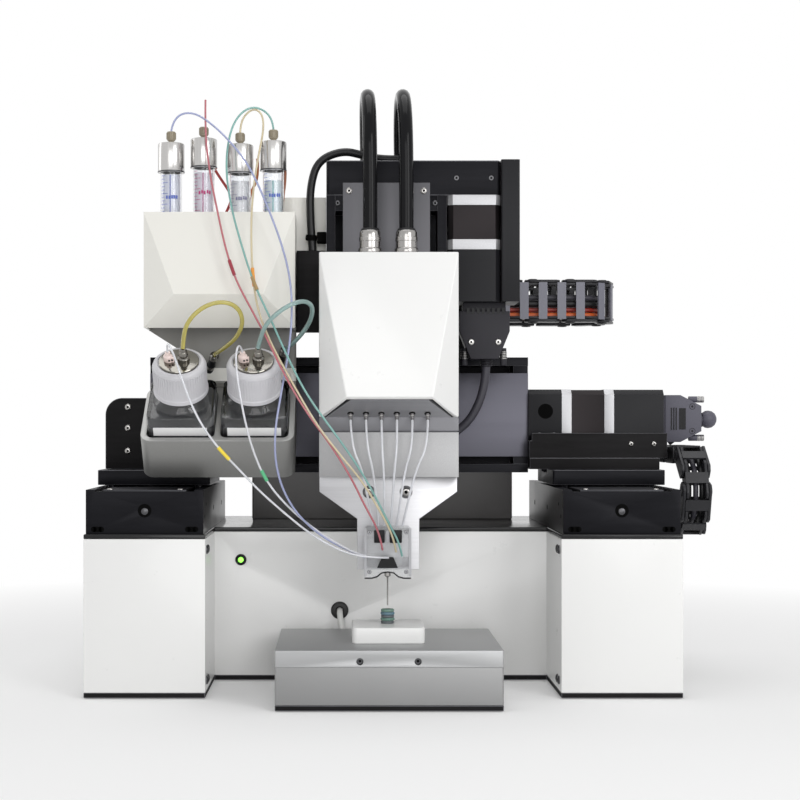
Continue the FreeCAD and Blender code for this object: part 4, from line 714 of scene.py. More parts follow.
GAS_ROUTES = {
    "yellow_gas_tube": [
        on_bottle(-1, BARB_ACROSS, BARB + 0.5),
        (-150, -25, 279), (-143.5, -27, 290), (-132, -27, 298.5), (-119, -25, 301),
        (-109, -19, 296.5), (-106, -11, 286), (-112, 0, 275), (-122, 12, 268), (-129, 24, 264.6),
        (-131, 31.0, 264),
    ],
    "aqua_gas_tube": [
        on_bottle(1, BARB_ACROSS, BARB + 0.5),
        (-91, -26, 280), (-82.5, -28, 290), (-70.5, -27, 298.5), (-59.5, -21, 302),
        (-53.5, -11, 298.5), (-55, 1, 289), (-62.5, 13, 278.5), (-72, 24, 270), (-76, 31.0, 268),
    ],
}

BED_CABLE = [
    (-33.5, 87.4, 57), (-33.5, 82, 57), (-33.2, 78, 53), (-32.2, 76.6, 44), (-30.2, 76, 33),
    (-28.4, 75.6, 25), (-27.8, 73.6, 18.5),
]
HOUSING_CABLE = [
    (14, 60, 421.5), (-1, 60, 421.6), (-14, 60, 424.5), (-31, 59, 428.5), (-51, 57, 420),
    (-57, 55, 399), (-57, 54, 374), (-55, 52, 347.2),
]
LIFT_MOTOR_CABLE = [
    (84.4, 61, 260.6), (83.5, 61.5, 244), (78, 62.5, 224), (67, 64, 207), (53.2, 66, 198.8),
]
CROSS_MOTOR_CABLE = [
    (277.3, 112, 213), (277.5, 121, 213), (277, 137, 211.5), (272.5, 152, 207), (262, 163, 201),
    (252, 166.5, 193.2),
]

# Places on the head
HEAD_X, HEAD_FRONT = 4.2, -3.0
BLOCK_TOP, COVER_TOP = 214.6, 340.4
NOSE_Y, NOSE_Z = -25.0, 229.4
HOSE_PLACES = (HEAD_X - 13.95, HEAD_X + 13.95)
HOSE_FOOT = 316.1
NEEDLE_X, NEEDLE_Y = 3.5, 9.0
CARTRIDGE_TOP = 131.0


def hose_route(x):
    """From a barrel on the cover up and over to the hose's foot behind the lift stage."""
    return [
        (x, 12.0, COVER_TOP + 18.1),
        (x, 11.2, 402.0),
        (x - 0.6, 12.6, 444.5),
        (x - 1.4, 37.0, 470.0),
        (x - 2.2, 72.6, 470.5),
        (x - 1.8, 97.6, 445.5),
        (x - 0.8, 98.8, 404.0),
        (x, 98.4, 362.0),
        (x, 98.0, HOSE_FOOT),
    ]


port_way = Vector((0, -14.8, -22.0)).normalized()
PORTS, PORT_SPACING, FERRULE_LENGTH = 6, 11.7, 6.1
MIDDLE_PORT = (PORTS - 1) / 2


def port_place(number):
    """Where a port leaves the sloping face under the nose."""
    rise = (NOSE_Z - BLOCK_TOP) / (HEAD_FRONT - NOSE_Y)
    x = HEAD_X + (number - MIDDLE_PORT) * PORT_SPACING
    return Vector((x, HEAD_FRONT - 4, BLOCK_TOP + 4 * rise))


def port_route(number):
    """From a port's ferrule down to its place on the cartridge."""
    tip = port_place(number) + port_way * FERRULE_LENGTH
    end_x = NEEDLE_X + (number - MIDDLE_PORT) * 4.6
    middle = (tip.x + end_x) / 2
    return [
        tuple(tip),
        (tip.x * 0.98 + end_x * 0.02, tip.y - 5.0, tip.z - 9.0),
        (tip.x * 0.85 + end_x * 0.15, tip.y - 9.5, tip.z - 24.0),
        (middle, tip.y - 9.0, (tip.z + CARTRIDGE_TOP) / 2 + 4.0),
        (tip.x * 0.15 + end_x * 0.85, tip.y + 4.0, CARTRIDGE_TOP + 16.0),
        (end_x, 7.0, CARTRIDGE_TOP + 0.6),
    ]


# Sleeves that mark the fluid lines: line, share of its length from the reservoir, own length,
# name and colour of the tone
SLEEVES = (
    ("red_fluid_line", 0.30, 11.0, "dark_red", (0.30, 0.03, 0.05)),
    ("cream_fluid_line", 0.49, 13.0, "orange", (0.80, 0.32, 0.05)),
    ("teal_fluid_line", 0.487, 11.0, "brown", (0.36, 0.24, 0.10)),
    ("left_bottle_line", 0.433, 12.0, "yellow", (0.86, 0.66, 0.05)),
    ("right_bottle_line", 0.556, 9.0, "green", (0.10, 0.46, 0.22)),
)
LINE_RADIUS, SLEEVE_RADIUS = 0.8, 1.35


def sleeve(name, points, share, length, finish):
    """A short coloured sleeve pushed onto a line, bent with it."""
    first = int(share * len(points))
    run = [points[first]]
    while sum((b - a).length for a, b in zip(run, run[1:])) < length * MM:
        run.append(points[first + len(run)])
    picked = (run[0], run[len(run) // 2], run[-1])
    route = [tuple(spot / MM) for spot in picked]
    obj = swept(name, route, SLEEVE_RADIUS, finish)
    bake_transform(obj)


# Name, route, radius, finish, body, slot and covered nodes of the cables that don't bend
CABLES = (
    ("bed_cable_run", BED_CABLE, 2.4, white_sheath, "base", "cable_white", ("bed_cable",)),
    ("housing_cable", HOUSING_CABLE, 3.2, cable_sheath, CARRIAGE, "cable_black", ("z_cables",)),
    ("lift_motor_cable", LIFT_MOTOR_CABLE, 3.4, grey_sheath, CARRIAGE, "cable_black"),
    ("cross_motor_cable", CROSS_MOTOR_CABLE, 2.6, grey_sheath, "gantry", "cable_black", ("x_motor_cable",)),
)


def cords():
    """All free cords, in the places of their solids."""
    lines = {}
    for (name, route), finish in zip(FLUID_ROUTES.items(), FLUID_FINISHES):
        covered = ("fluid_lines",) if not lines else ()
        lines[name] = crossing_cord(name, route, LINE_RADIUS, finish, covered)
    for name, share, length, tone, color in SLEEVES:
        finish = moulded(f"{tone}_sleeve", color, 0.4, 900.0)
        sleeve(f"{tone}_line_sleeve", lines[name], share, length, finish)
    for side, x in zip(("left", "right"), HOSE_PLACES):
        covered = ("head_hoses",) if side == "left" else ()
        name = f"{side}_head_hose"
        crossing_cord(name, hose_route(x), 5.6, hose_rubber, covered)
    for (name, route), finish in zip(GAS_ROUTES.items(), (yellow_tube, aqua_tube)):
        covered = ("gas_tubes",) if finish is yellow_tube else ()
        fixed_cord(name, route, 1.7, finish, CARRIAGE, "gas_line", covered)
    for values in CABLES:
        fixed_cord(*values)
    for number in range(PORTS):
        covered = ("port_tubes",) if number == 0 else ()
        name = f"port_tube_{number + 1}"
        fixed_cord(name, port_route(number), 0.9, clear_line, "head", "line_clear", covered)


# Shared ways of dressing the solids
def dress(node, finish, body, width, segments=2, paint=None, detail=None, seams=()):
    """A solid's own form with softened edges, and what the detail function adds to it."""
    form = solid_copy(node)
    for spot, normal in seams:
        seam_in(form, spot, normal)
    if paint:
        for face in form.faces:
            face.material_index = paint(face)
    # Black anodised pieces take the lighter finish on their bevels, a painted edge highlight.
    edge_highlighted = finish in (black_satin, black_matte)
    finishes = (finish, painted_edge_highlight) if edge_highlighted else finish
    obj = piece(node + "_form", form, finishes, body, replaces=(node,))
    soften(obj, width, segments)
    if edge_highlighted:
        obj.modifiers["soft_edges"].material = 1
    if detail:
        extra = bmesh.new()
        detail(extra)
        creased(node + "_details", extra, (dark_steel_and_recess_shade, hole_shade_and_tie_black, bright_steel), body)


SCREW_LEAD, SCREW_STARTS = 0.0127, 4


def lead_thread(along):
    """Rolled lead-screw thread, as fine ridges along the screw: bumps, with painted highlight on their
    crests and painted shade in their grooves.
    """
    finish = Finish(f"lead_thread_{along.lower()}", (0.55, 0.54, 0.52), 0.25, 1.0)
    ridges = (finish.axis(along) * (math.tau / SCREW_LEAD * SCREW_STARTS)).wave()
    finish.set("Base Color", finish.mix(ridges, (0.32, 0.31, 0.30), (0.62, 0.61, 0.59)))
    finish.bump(ridges, 0.0003)
    return finish


threads = {along: lead_thread(along) for along in "YXZ"}


# Base, deck and panel
BASE_HALF, INNER_SIDE, PANEL_Y, BASE_BACK = 229.0, 136.0, 87.0, 250.0
DECK_TOP, PLATE_TOP = 125.0, 4.0
PAIR_SCREWS = ((12.0, 112.5), (21.0, 112.5), (12.0, 12.0), (21.0, 12.0))
LAMP_X, LAMP_Z, LAMP_RADIUS = -114.4, 98.4, 3.2
GROMMET_X, GROMMET_Z = -33.5, 57.0
# Radius and rise of the casing's button screws
CASING_SCREW = (2.6, 1.2)


def base_screws(form):
    """Button screws in pairs on the inner sides of the housings, and along the back."""
    for side in (-1, 1):
        for y, z in PAIR_SCREWS:
            button_screw_in(form, (side * INNER_SIDE, y, z), (-side, 0, 0), 3.4, 1.6)
        for z in (14.0, 62.0, 110.0):
            button_screw_in(form, (side * (BASE_HALF - 14.0), BASE_BACK, z), Y, *CASING_SCREW)
            for y in (BASE_BACK - 12.0, 14.0):
                button_screw_in(form, (side * BASE_HALF, y, z), (side, 0, 0), *CASING_SCREW)
    for x in (-60.0, 60.0):
        for z in (110.0, 14.0):
            button_screw_in(form, (x, BASE_BACK, z), Y, *CASING_SCREW)


def inlet_nut(form):
    """The hexagonal collar nut of the round power inlet."""
    inlet = (BASE_HALF - 60.0, BASE_BACK, PLATE_TOP + 24.0)
    lathe_in(form, [(8.2, 0), (11.6, 0), (11.6, 1.8), (10.6, 2.6), (8.2, 2.6), (8.2, 0)], inlet, Y, 6)


def base():
    dress("base_plate", black_matte, "base", 0.6)
    dress("base_shell", white_enamel, "base", 0.9, 3, detail=base_screws)
    dress("deck_plate", black_gloss, "base", 0.7)
    dress("rear_inlets", black_plastic, "base", 0.5, detail=inlet_nut)
    dress("power_switch", black_gloss, "rocker", 0.5)
    finish_node("electronics", zinc)

    form = bmesh.new()
    for crown in (0, 0.9):
        lens = [(0, crown), (1.3, 0.8), (2.1, 0.3), (2.3, -0.4), (0, -0.4)]
        lathe_in(form, lens, (LAMP_X, PANEL_Y - 1.6, LAMP_Z), -Y, 28)
    bezel = [(2.2, -3.0), (LAMP_RADIUS - 0.2, -3.0), (LAMP_RADIUS - 0.2, 0.0), (4.6, 0.0)]
    bezel += [(4.6, 0.8), (4.2, 1.5), (3.0, 1.9), (2.2, 1.6), (2.2, -3.0)]
    lathe_in(form, bezel, (LAMP_X, PANEL_Y, LAMP_Z), -Y, 36, 1)
    finishes = (green_lens, black_plastic)
    creased("status_lamp_lens", form, finishes, "base", ("status_lamp",))

    form = bmesh.new()
    ring = [(2.5, -4.0), (5.0, -4.0), (5.0, 0.0), (6.9, 0.0), (7.2, 0.7), (6.7, 1.7)]
    ring += [(5.4, 2.5), (3.6, 2.6), (2.7, 2.0), (2.5, 1.0), (2.5, -4.0)]
    lathe_in(form, ring, (GROMMET_X, PANEL_Y, GROMMET_Z), -Y, 40)
    creased("cable_grommet_ring", form, grommet_rubber, "base", ("cable_grommet",))


# Print bed, chuck and sample
BED_FRONT, CHUCK_TOP = -55.0, 56.2
SAMPLE_RADIUS, SAMPLE_BORE, SAMPLE_RING = 5.5, 2.5, 2.2
sample_green = moulded("sample_green", (0.14, 0.24, 0.20), 0.35, 500.0, Subsurface_Weight=0.2)
sample_grey = moulded("sample_grey", (0.11, 0.125, 0.135), 0.35, 500.0)
sample_blue = moulded("sample_blue", (0.12, 0.20, 0.25), 0.35, 500.0, Subsurface_Weight=0.2)
SAMPLE_BANDS = (1, 0, 1, 2, 0)


def bed_screws(form):
    for x in (-18.4, 24.0):
        cap_screw_in(form, (x, BED_FRONT + 3.2, 36.0), -Y, 2.2)


def print_bed():
    dress("bed_block", blasted_block, "base", 0.5, 3)
    dress("bed_plate", blasted_bed, "base", 0.5, 3, detail=bed_screws)
    dress("chuck", white_enamel, "base", 1.2, 4)
    form = bmesh.new()
    for number, band in enumerate(SAMPLE_BANDS):
        low = CHUCK_TOP + number * SAMPLE_RING
        wide = SAMPLE_RADIUS - (0 if number % 2 else 0.35)
        profile = [(SAMPLE_BORE, 0), (wide - 0.55, 0), (wide - 0.12, 0.45), (wide, SAMPLE_RING / 2)]
        profile += [(wide - 0.12, SAMPLE_RING - 0.45), (wide - 0.55, SAMPLE_RING)]
        profile += [(SAMPLE_BORE, SAMPLE_RING), (SAMPLE_BORE, 0)]
        lathe_in(form, profile, (NEEDLE_X, NEEDLE_Y, low), Z, 40, band)
    tones = (sample_green, sample_grey, sample_blue)
    creased("printed_rings", form, tones, "base", ("printed_sample",), 50)


# Linear stages and motors
Y_STAGE_X, Y_STAGE_HALF, Y_STAGE_FRONT, Y_STAGE_TOP = 182.5, 45.0, 2.0, 159.0
Y_MOTOR_START, AXIS_RISE = 222.0, 18.0
SADDLE_TOP = 172.5
X_STAGE_LEFT, X_STAGE_RIGHT, X_STAGE_FRONT = -190.0, 122.0, 98.0
X_STAGE_LOW, X_STAGE_TOP, X_AXIS_Z = 169.5, 264.5, 217.0
Z_LEFT, Z_RIGHT, Z_FRONT = -44.0, 51.0, 41.5
Z_LOW, Z_TOP, DRIVE_TOP = 181.0, 390.0, 418.0
Z_MOTOR_X = 72.7
X_AXIS_Y = 116.0
CONTROLLER_LEFT = 93.9
# Lengths of a motor, its end bell and its stack of laminations, and of the coupling housings
MOTOR_LENGTH, BELL, STACK = 84.0, 8.0, 27.0
Y_COUPLING, X_COUPLING = 31.0, 27.5


def motor_bands(start, letter, way=1):
    """Which finish a motor's face takes by its place along the shaft: body, bell or stack."""
    marks = (start, start + BELL, start + BELL + STACK, start + 2 * BELL + STACK)

    def choose(face):
        along = way * face.calc_center_median()["xyz".index(letter)]
        if marks[0] < along < marks[1] or marks[2] < along < marks[3]:
            return 1
        return 2 if marks[1] <= along <= marks[2] else 0

    return choose


MOTOR_FINISHES = (black_plastic, cast_band, motor_stack)


# Holes in the sides of the front-to-back stages: y, z and radius
SIDE_HOLES = ((14.0, 138.0, 1.5), (26.0, 147.0, 1.5), (96.0, 141.0, 2.2), (180.0, 141.0, 2.2))


def y_stage_details(form):
    """Bearing bore and lower corner slots of the front plates, side holes and end screws."""
    for side in (-1, 1):
        centre = side * Y_STAGE_X
        front = Y_STAGE_FRONT
        hole_in(form, (centre, front, DECK_TOP + AXIS_RISE), -Y, 5.2)
        nose = [(0, 0), (2.6, 0), (1.8, 0.4), (0, 0.5)]
        lathe_in(form, nose, (centre, front - 0.04, DECK_TOP + AXIS_RISE - 0.6), -Y, 24)
        for across in (-36.0, 36.0):
            x, low = centre + across, DECK_TOP + 1.6
            for end in (-3.0, 3.0):
                hole_in(form, (x + end, front, low + 2.1), -Y, 2.1)
            # The corner slot is a thin dark box on the face: painted shade of the slot.
            box_in(form, (x - 3, front - 0.05, low), (x + 3, front + 0.3, low + 4.2), HOLLOW)
            cap_screw_in(form, (x, front + 220.0, DECK_TOP + 8.0), Y, 2.5)
        for y, z, radius in SIDE_HOLES:
            for way in (-side, side):
                hole_in(form, (centre + way * Y_STAGE_HALF, y, z), (way, 0, 0), radius)


def strip_screws(form, spots, along, radius=2.4):
    for spot in spots:
        button_screw_in(form, spot, along, radius, 0.9, BRIGHT)


def y_strip_screws(form):
    spots = []
    for side in (-1, 1):
        for across in (-27.0, 27.0):
            spots += [(side * Y_STAGE_X + across, y, Y_STAGE_TOP) for y in (8.0, 216.0)]
    strip_screws(form, spots, Z)


def y_carriage_details(form):
    """Tapped holes in rows on the carriages' tops."""
    for side in (-1, 1):
        for across in (-36.0, -18.0, 18.0, 36.0):
            for y in (66.0, 78.0, 142.0, 154.0):
                hole_in(form, (side * Y_STAGE_X + across, y, SADDLE_TOP), Z, 1.9)


def coupling_holes(form):
    """Round windows in the coupling housings of the Y motors, and the screws of their ends."""
    for side in (-1, 1):
        spot = (side * Y_STAGE_X, Y_MOTOR_START + 15.0, DECK_TOP + AXIS_RISE + 16.0)
        hole_in(form, spot, Z, 5.0)
        for turn in range(4):
            x = side * Y_STAGE_X + (15.5 if turn % 2 else -15.5)
            z = DECK_TOP + AXIS_RISE + (15.5 if turn // 2 else -15.5)
            cap_screw_in(form, (x, Y_MOTOR_START + Y_COUPLING + MOTOR_LENGTH, z), Y, 1.6)


def x_coupling_details(form):
    """The coupling housing's round window, clamp screws, and the screws of the end plate."""
    front = 95.0
    for x in (X_STAGE_RIGHT + 9.0, X_STAGE_RIGHT + 21.0):
        cap_screw_in(form, (x, front, X_AXIS_Z - 16.0), -Y, 1.7)
    hole_in(form, (X_STAGE_RIGHT + 14.0, front, X_AXIS_Z + 3.0), -Y, 6.2)
    end = X_STAGE_RIGHT + X_COUPLING + MOTOR_LENGTH
    for y in (X_AXIS_Y - 15.0, X_AXIS_Y + 15.0):
        for z in (X_AXIS_Z - 15.0, X_AXIS_Z + 15.0):
            cap_screw_in(form, (end, y, z), X, 1.6)


def x_stage_details(form):
    """End screws on the front edge of the plates, and holes along the channel's upper wall."""
    for x in (X_STAGE_RIGHT - 6.0, X_STAGE_LEFT + 6.0):
        for z in (X_STAGE_LOW + 24.0, X_STAGE_TOP - 16.0):
            button_screw_in(form, (x, X_STAGE_FRONT + 1.5, z), -Y, 2.6, 1.0)
    for x in (-150.0, -90.0, 90.0):
        hole_in(form, (x, X_AXIS_Y, X_STAGE_TOP), Z, 2.4)


def z_stage_details(form):
    """Front screws and side holes of the lift stage."""
    for x in (Z_LEFT + 9.0, Z_RIGHT - 9.0):
        for z in (Z_TOP - 6.0, Z_LOW + 6.0):
            button_screw_in(form, (x, Z_FRONT + 1.5, z), -Y, 2.4, 0.9)
    for z in (214.0, 260.0, 330.0, 376.0):
        hole_in(form, (Z_LEFT, 59.5, z), -X, 2.2)


def z_strip_screws(form):
    spots = [(x, Z_FRONT, z) for x in (-26.0, 33.0) for z in (393.5, 188.0)]
    strip_screws(form, spots, -Y, 2.6)


def drive_housing_details(form):
    """Cover screws of the belt drive above the Z stage and its motor."""
    for x in (Z_LEFT + 8.0, 8.0, Z_MOTOR_X + 14.0):
        for y in (49.0, 71.0):
            cap_screw_in(form, (x, y, DRIVE_TOP), Z, 2.1)
    for x in (59.0, 86.5):
        cap_screw_in(form, (x, 43.3, 404.0), -Y, 1.9)


def z_motor_paint(face):
    """The motor's bands, but none on the controller bar at its right side."""
    if face.calc_center_median().x > CONTROLLER_LEFT:
        return 0
    return motor_bands(-Z_TOP, "z", -1)(face)


def flank_paint(face):
    """The flanks take a paler copy of the fronts' black, a painted sheen for the light that their sawn
    grain catches.
    """
    return 1 if abs(face.normal.x) > 0.9 else 0


def stages():
    flanks = (black_satin, black_flank_painted_sheen)
    dress("y_stages", flanks, "base", 0.5, paint=flank_paint, detail=y_stage_details)
    dress("y_strips", y_strip_painted_shade, "base", 0.3, detail=y_strip_screws)
    dress("y_carriages", black_satin, "gantry", 0.8, detail=y_carriage_details)
    start = Y_MOTOR_START + Y_COUPLING
    paint, seams = motor_bands(start, "y"), (((0, start, 0), Y),)
    dress("y_motors", MOTOR_FINISHES, "base", 0.7, 3, paint, coupling_holes, seams)
    dress("x_stage", black_satin, "gantry", 0.6, detail=x_stage_details)
    dress("x_strip", grey_strip_x, "gantry", 0.3)
    start = X_STAGE_RIGHT + X_COUPLING
    paint, seams = motor_bands(start, "x"), (((start, 0, 0), X),)
    dress("x_motor", MOTOR_FINISHES, "gantry", 0.7, 3, paint, x_coupling_details, seams)
    dress("x_carriage", black_satin, CARRIAGE, 0.8)
    dress("z_stage", black_satin, CARRIAGE, 0.6, detail=z_stage_details)
    dress("z_strip", grey_strip, CARRIAGE, 0.3, detail=z_strip_screws)
    dress("z_motor", MOTOR_FINISHES, CARRIAGE, 0.7, 3, z_motor_paint)
    dress("z_drive_housing", black_satin, CARRIAGE, 0.9, 3, detail=drive_housing_details)
    dress("z_carriage", black_satin, "head", 0.8)
    for node, along in (("left_y_screw", "Y"), ("right_y_screw", "Y"), ("x_screw", "X"), ("z_screw", "Z")):
        finish_node(node, threads[along])


# Brackets, adapter, control box and drag chains
def screws_on(spots, along, radius):
    def details(form):
        for spot in spots:
            button_screw_in(form, spot, along, radius, 1.1, BRIGHT)

    return details


def tie_mount(form):
    """A cable-tie block on the Z stage's left side, with its strap around the housing cable."""
    made = box_in(form, (-51.5, 48.0, 353.6), (-43.9, 61.0, 362.0), HOLLOW)
    round_in(form, edges_of(made), 0.8)
    strap = [(3.3, -2.3), (4.3, -2.3), (4.5, 0.0), (4.3, 2.3), (3.3, 2.3), (3.3, -2.3)]
    lathe_in(form, strap, (-56.2, 53.2, 357.8), (0.08, -0.08, 1), 28, HOLLOW)


BOX_BACK, BOX_TOP = 248.0, 232.0


def control_box_details(form):
    """Rear screws and cooling slots, and the lid's screws."""
    for x in (-104.0, 4.0, 112.0):
        for z in (132.0, 225.0):
            button_screw_in(form, (x, BOX_BACK, z), Y, 2.6, 1.0)
        button_screw_in(form, (x, 225.0, BOX_TOP), Z, 2.6, 1.0)
    for number in range(10):
        x = 40.0 + number * 5.6
        # Each cooling slot is a thin dark box on the back: painted shade of the slot.
        box_in(form, (x, BOX_BACK - 0.2, 168.0), (x + 2.4, BOX_BACK + 0.2, 206.0), HOLLOW)


def brackets():
    spots = [(-208.4, 98.0, z) for z in (223.5, 206.2, 187.2)]
    dress("left_upright", black_matte, "gantry", 0.7, detail=screws_on(spots, -Y, 2.7))
    spots = [(x, 88.7, 193.1) for x in (205.3, 224.1)]
    dress("right_mount", black_matte, "gantry", 0.7, detail=screws_on(spots, -Y, 2.2))
    dress("x_chain_bracket", black_matte, "gantry", 0.6)
    dress("y_chain_bracket", black_matte, "base", 0.6)
    dress("adapter_plate", black_matte, CARRIAGE, 0.7, detail=tie_mount)
    dress("control_box", box_enamel_painted_sheen, "base", 1.0, 3, detail=control_box_details)


# Links around a chain's bend; half its height, half its plates' thickness and their inset, and
# the cheeks of every other link, which lie inside their neighbours'
BEND_TURNS = 5
CHAIN_HALF, PLATE_HALF, PLATE_INSET, CHEEK = 7.0, 0.7, 2.3, 2.6
orange_sheath = moulded("orange_cable_sheath", (0.62, 0.11, 0.02), 0.4, 800.0)
red_sheath = moulded("red_cable_sheath", (0.26, 0.02, 0.012), 0.4, 800.0)


def chain_pivots(pitch, runs):
    """The pivots of a chain in its own plane, from its first link to its last."""
    angles = [0.0] * runs[0]
    angles += [math.pi / BEND_TURNS * turn for turn in range(1, BEND_TURNS)]
    angles += [math.pi] * runs[1]
    spots = [Vector((0, 0, 0))]
    for angle in angles:
        spots.append(spots[-1] + Vector((math.cos(angle), math.sin(angle), 0)) * pitch)
    return spots


def drag_chain(node, pitch, runs, width, frame_axes, start, wires, plate, paint=0):
    """The links with softened edges, pivot bosses and outer plates, and the cables they carry."""
    turn = Matrix(frame_axes).transposed()
    start = Vector(start)
    form = solid_copy(node)
    sharp = [e for e in form.edges if e.is_manifold and e.calc_face_angle() > 0.6]
    round_in(form, sharp, 0.35, 1)
    pivots = chain_pivots(pitch, runs)
    side = turn @ Z
    boss = [(0, -0.6), (4.2, -0.6), (4.2, 0.5), (3.6, 0.9), (2.2, 0.9), (1.8, 0.3), (0, 0.3)]
    for number, pivot in enumerate(pivots):
        spot = start + turn @ pivot
        for way in (-1, 1):
            face = spot + side * way * (width / 2 - (CHEEK if number % 2 else 0))
            lathe_in(form, boss, face, side * way, 20)
    for before, after in zip(pivots, pivots[1:]):
        along = (after - before).normalized()
        outward = Vector((along.y, -along.x, 0))
        middle = start + turn @ ((before + after) / 2 + outward * (CHAIN_HALF + 0.1))
        corner = Vector((plate / 2, PLATE_HALF, width / 2 - PLATE_INSET))
        made = box_in(form, -corner, corner, paint)
        way = Matrix((along, -outward, (0, 0, 1))).transposed()
        bmesh.ops.rotate(form, verts=made, cent=(0, 0, 0), matrix=turn @ way)
        bmesh.ops.translate(form, verts=made, vec=middle)
    links = free_piece(node + "_links", form, (chain_plastic, chain_plates_painted_sheen), (node,))
    crease(links)
    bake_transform(links)
    for number, (across, drop, radius, finish) in enumerate(wires):
        route = []
        for before, after in zip(pivots, pivots[1:]):
            middle = start + turn @ ((before + after) / 2 + Vector((0, drop, across)))
            route.append(tuple(middle))
        wire = swept(f"{node}_wire_{number + 1}", route, radius, finish)
        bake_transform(wire)


X_CHAIN_AXES = ((1, 0, 0), (0, 1, 0), (0, 0, 1))
Y_CHAIN_AXES = ((0, -1, 0), (0, 0, -1), (1, 0, 0))
X_CHAIN_WIRES = (
    (-12.2, 0.0, 2.5, orange_sheath),
    (-7.4, 1.2, 1.9, red_sheath),
    (-2.4, -1.0, 2.6, cable_sheath),
    (3.2, 0.8, 2.4, grey_sheath),
)
Y_CHAIN_WIRES = (
    (-5.5, 0.0, 2.6, cable_sheath),
    (0.5, 0.6, 2.2, grey_sheath),
    (5.6, -0.4, 2.4, cable_sheath),
)


def chains():
    """The X chain, with a painted sheen on the undersides of its plates, and the Y chain."""
    bodies, start = ("gantry", CARRIAGE), (68.0, 150.0, 315.0)
    drag_chain("x_chain", 16.0, (7, 5), 36.0, X_CHAIN_AXES, start, X_CHAIN_WIRES, 7.4, 1)
    bodies, start = ("base", "gantry"), (251.5, 152.0, 184.0)
    drag_chain("y_chain", 18.5, (4, 4), 23.0, Y_CHAIN_AXES, start, Y_CHAIN_WIRES, 9.0)


# Motor plugs
def cross_plug_details(form):
    """Grip ribs, window and screws of the cross motor's plug, its thumbscrews and round boot."""
    for x in (241.2, 243.2, 245.2):
        box_in(form, (x, 103.4, 204.6), (x + 0.8, 104.2, 223.0), HOLLOW)
    box_in(form, (248.0, 103.5, 205.0), (253.4, 104.3, 222.6), HOLLOW)
    for z in (203.6, 224.0):
        cap_screw_in(form, (258.9, 104.0, z), -Y, 2.1)
    knurl = [(0, 0), (2.6, 0), (2.8, 0.3), (2.6, 0.9), (0, 0.9)]
    for z in (198.0, 230.0):
        for ring in range(5):
            lathe_in(form, knurl, (264.4 + ring * 1.2, 112.0, z), X, 20, BRIGHT)
    dome = [(0, 0), (5.4, 0), (7.0, 2.6), (7.4, 5.0), (6.8, 8.0), (5.0, 10.4), (2.6, 11.7), (0, 12.0)]
    lathe_in(form, dome, (268.6, 112.0, 213.4), X, 32)


def lift_plug_details(form):
    """Contact slots, shell screws and thumbscrews of the lift motor's plug."""
    front = 48.5
    for number in range(8):
        x = 67.5 + number * 4.0
        # Each contact slot is a thin dark box on the front: painted shade of the slot.
        box_in(form, (x, front - 0.35, 297.0), (x + 2.2, front + 0.3, 301.5), HOLLOW)
    for x in (71.0, 92.5):
        button_screw_in(form, (x, front, 274.5), -Y, 2.5, 0.9, BRIGHT)
    knurl = [(0, 0), (2.9, 0), (3.1, 0.3), (2.9, 0.7), (0, 0.7)]
    for x in (66.2, 97.2):
        for ring in range(5):
            lathe_in(form, knurl, (x, 56.5, 262.0 + ring * 1.3), -Z, 20, BRIGHT)
    for ring in range(3):
        wide = 5.2 - ring * 0.2
        profile = [(0, 0), (wide - 0.5, 0), (wide, 0.5), (wide, 1.1), (wide - 0.5, 1.6), (0, 1.6)]
        lathe_in(form, profile, (84.0, 60.5, 261.2 - ring * 2.1), -Z, 24)


PLUGS = (
    ("x_connector", hood_plastic, "gantry", cross_plug_details),
    ("z_connector", dark_hood, CARRIAGE, lift_plug_details),
)


def plugs():
    """The hoods of both plugs, with their fittings."""
    for node, finish, body, details in PLUGS:
        soften(piece(node + "_hood", solid_copy(node), finish, body, (node,)), 1.0, 3)
        form = bmesh.new()
        details(form)
        creased(node + "_fittings", form, (finish, black_seal_and_hole_shade, zinc), body)


# Print head
GROOVE_LOW, GROOVE_HIGH = 203.1, 203.9
milled_pale = brushed("fly_cut_aluminium", (0.54, 0.54, 0.555), "x", 0.42, 700.0)
# Darker and lighter copies of one machined finish: the shoulder's fronts take painted shade, its
# down-sloping faces painted light.
machined_shoulder_painted_shade = brushed("machined_shoulder_painted_shade", (0.155, 0.155, 0.165), "x", 0.45, 600.0)
port_slope_painted_light = brushed("port_slope_painted_light", (0.40, 0.40, 0.42), "x", 0.45, 600.0)
block_band = blasted("block_band", (0.25, 0.25, 0.255), 0.5)


def port_block():
    """The block under the cover: smooth shoulder, a fine groove, and a bead-blasted band below; the
    shoulder's fronts take a darker copy of its finish and its down-sloping faces a lighter one, painted
    shade and painted light.
    """
    form = solid_copy("port_block")
    for height in (GROOVE_LOW, GROOVE_HIGH):
        seam_in(form, (0, 0, height), Z)
    groove = []
    for face in form.faces:
        level = face.calc_center_median().z
        face.material_index = 1 if level < GROOVE_LOW else 0
        # Down-sloping faces take the lighter copy: painted light against the cover's shade.
        if face.normal.y < -0.1 and abs(face.normal.z) > 0.1:
            face.material_index = 2
        if GROOVE_LOW < level < GROOVE_HIGH and abs(face.normal.z) < 0.1:
            groove.append(face)
    bmesh.ops.inset_region(form, faces=groove, thickness=0.05, depth=-0.6, use_even_offset=True)
    finishes = (machined_shoulder_painted_shade, block_band, port_slope_painted_light)
    soften(piece("port_block_form", form, finishes, "head", ("port_block",)), 0.3, 2)
    # Dark discs in the port mouths, around the ferrules: painted shade of the holes.
    form = bmesh.new()
    for number in range(PORTS):
        place = port_place(number)
        rod_in(form, place - port_way * 1.0, place + port_way * 0.25, 2.5, 24)
    creased("port_mouths", form, black_seal_and_hole_shade, "head")


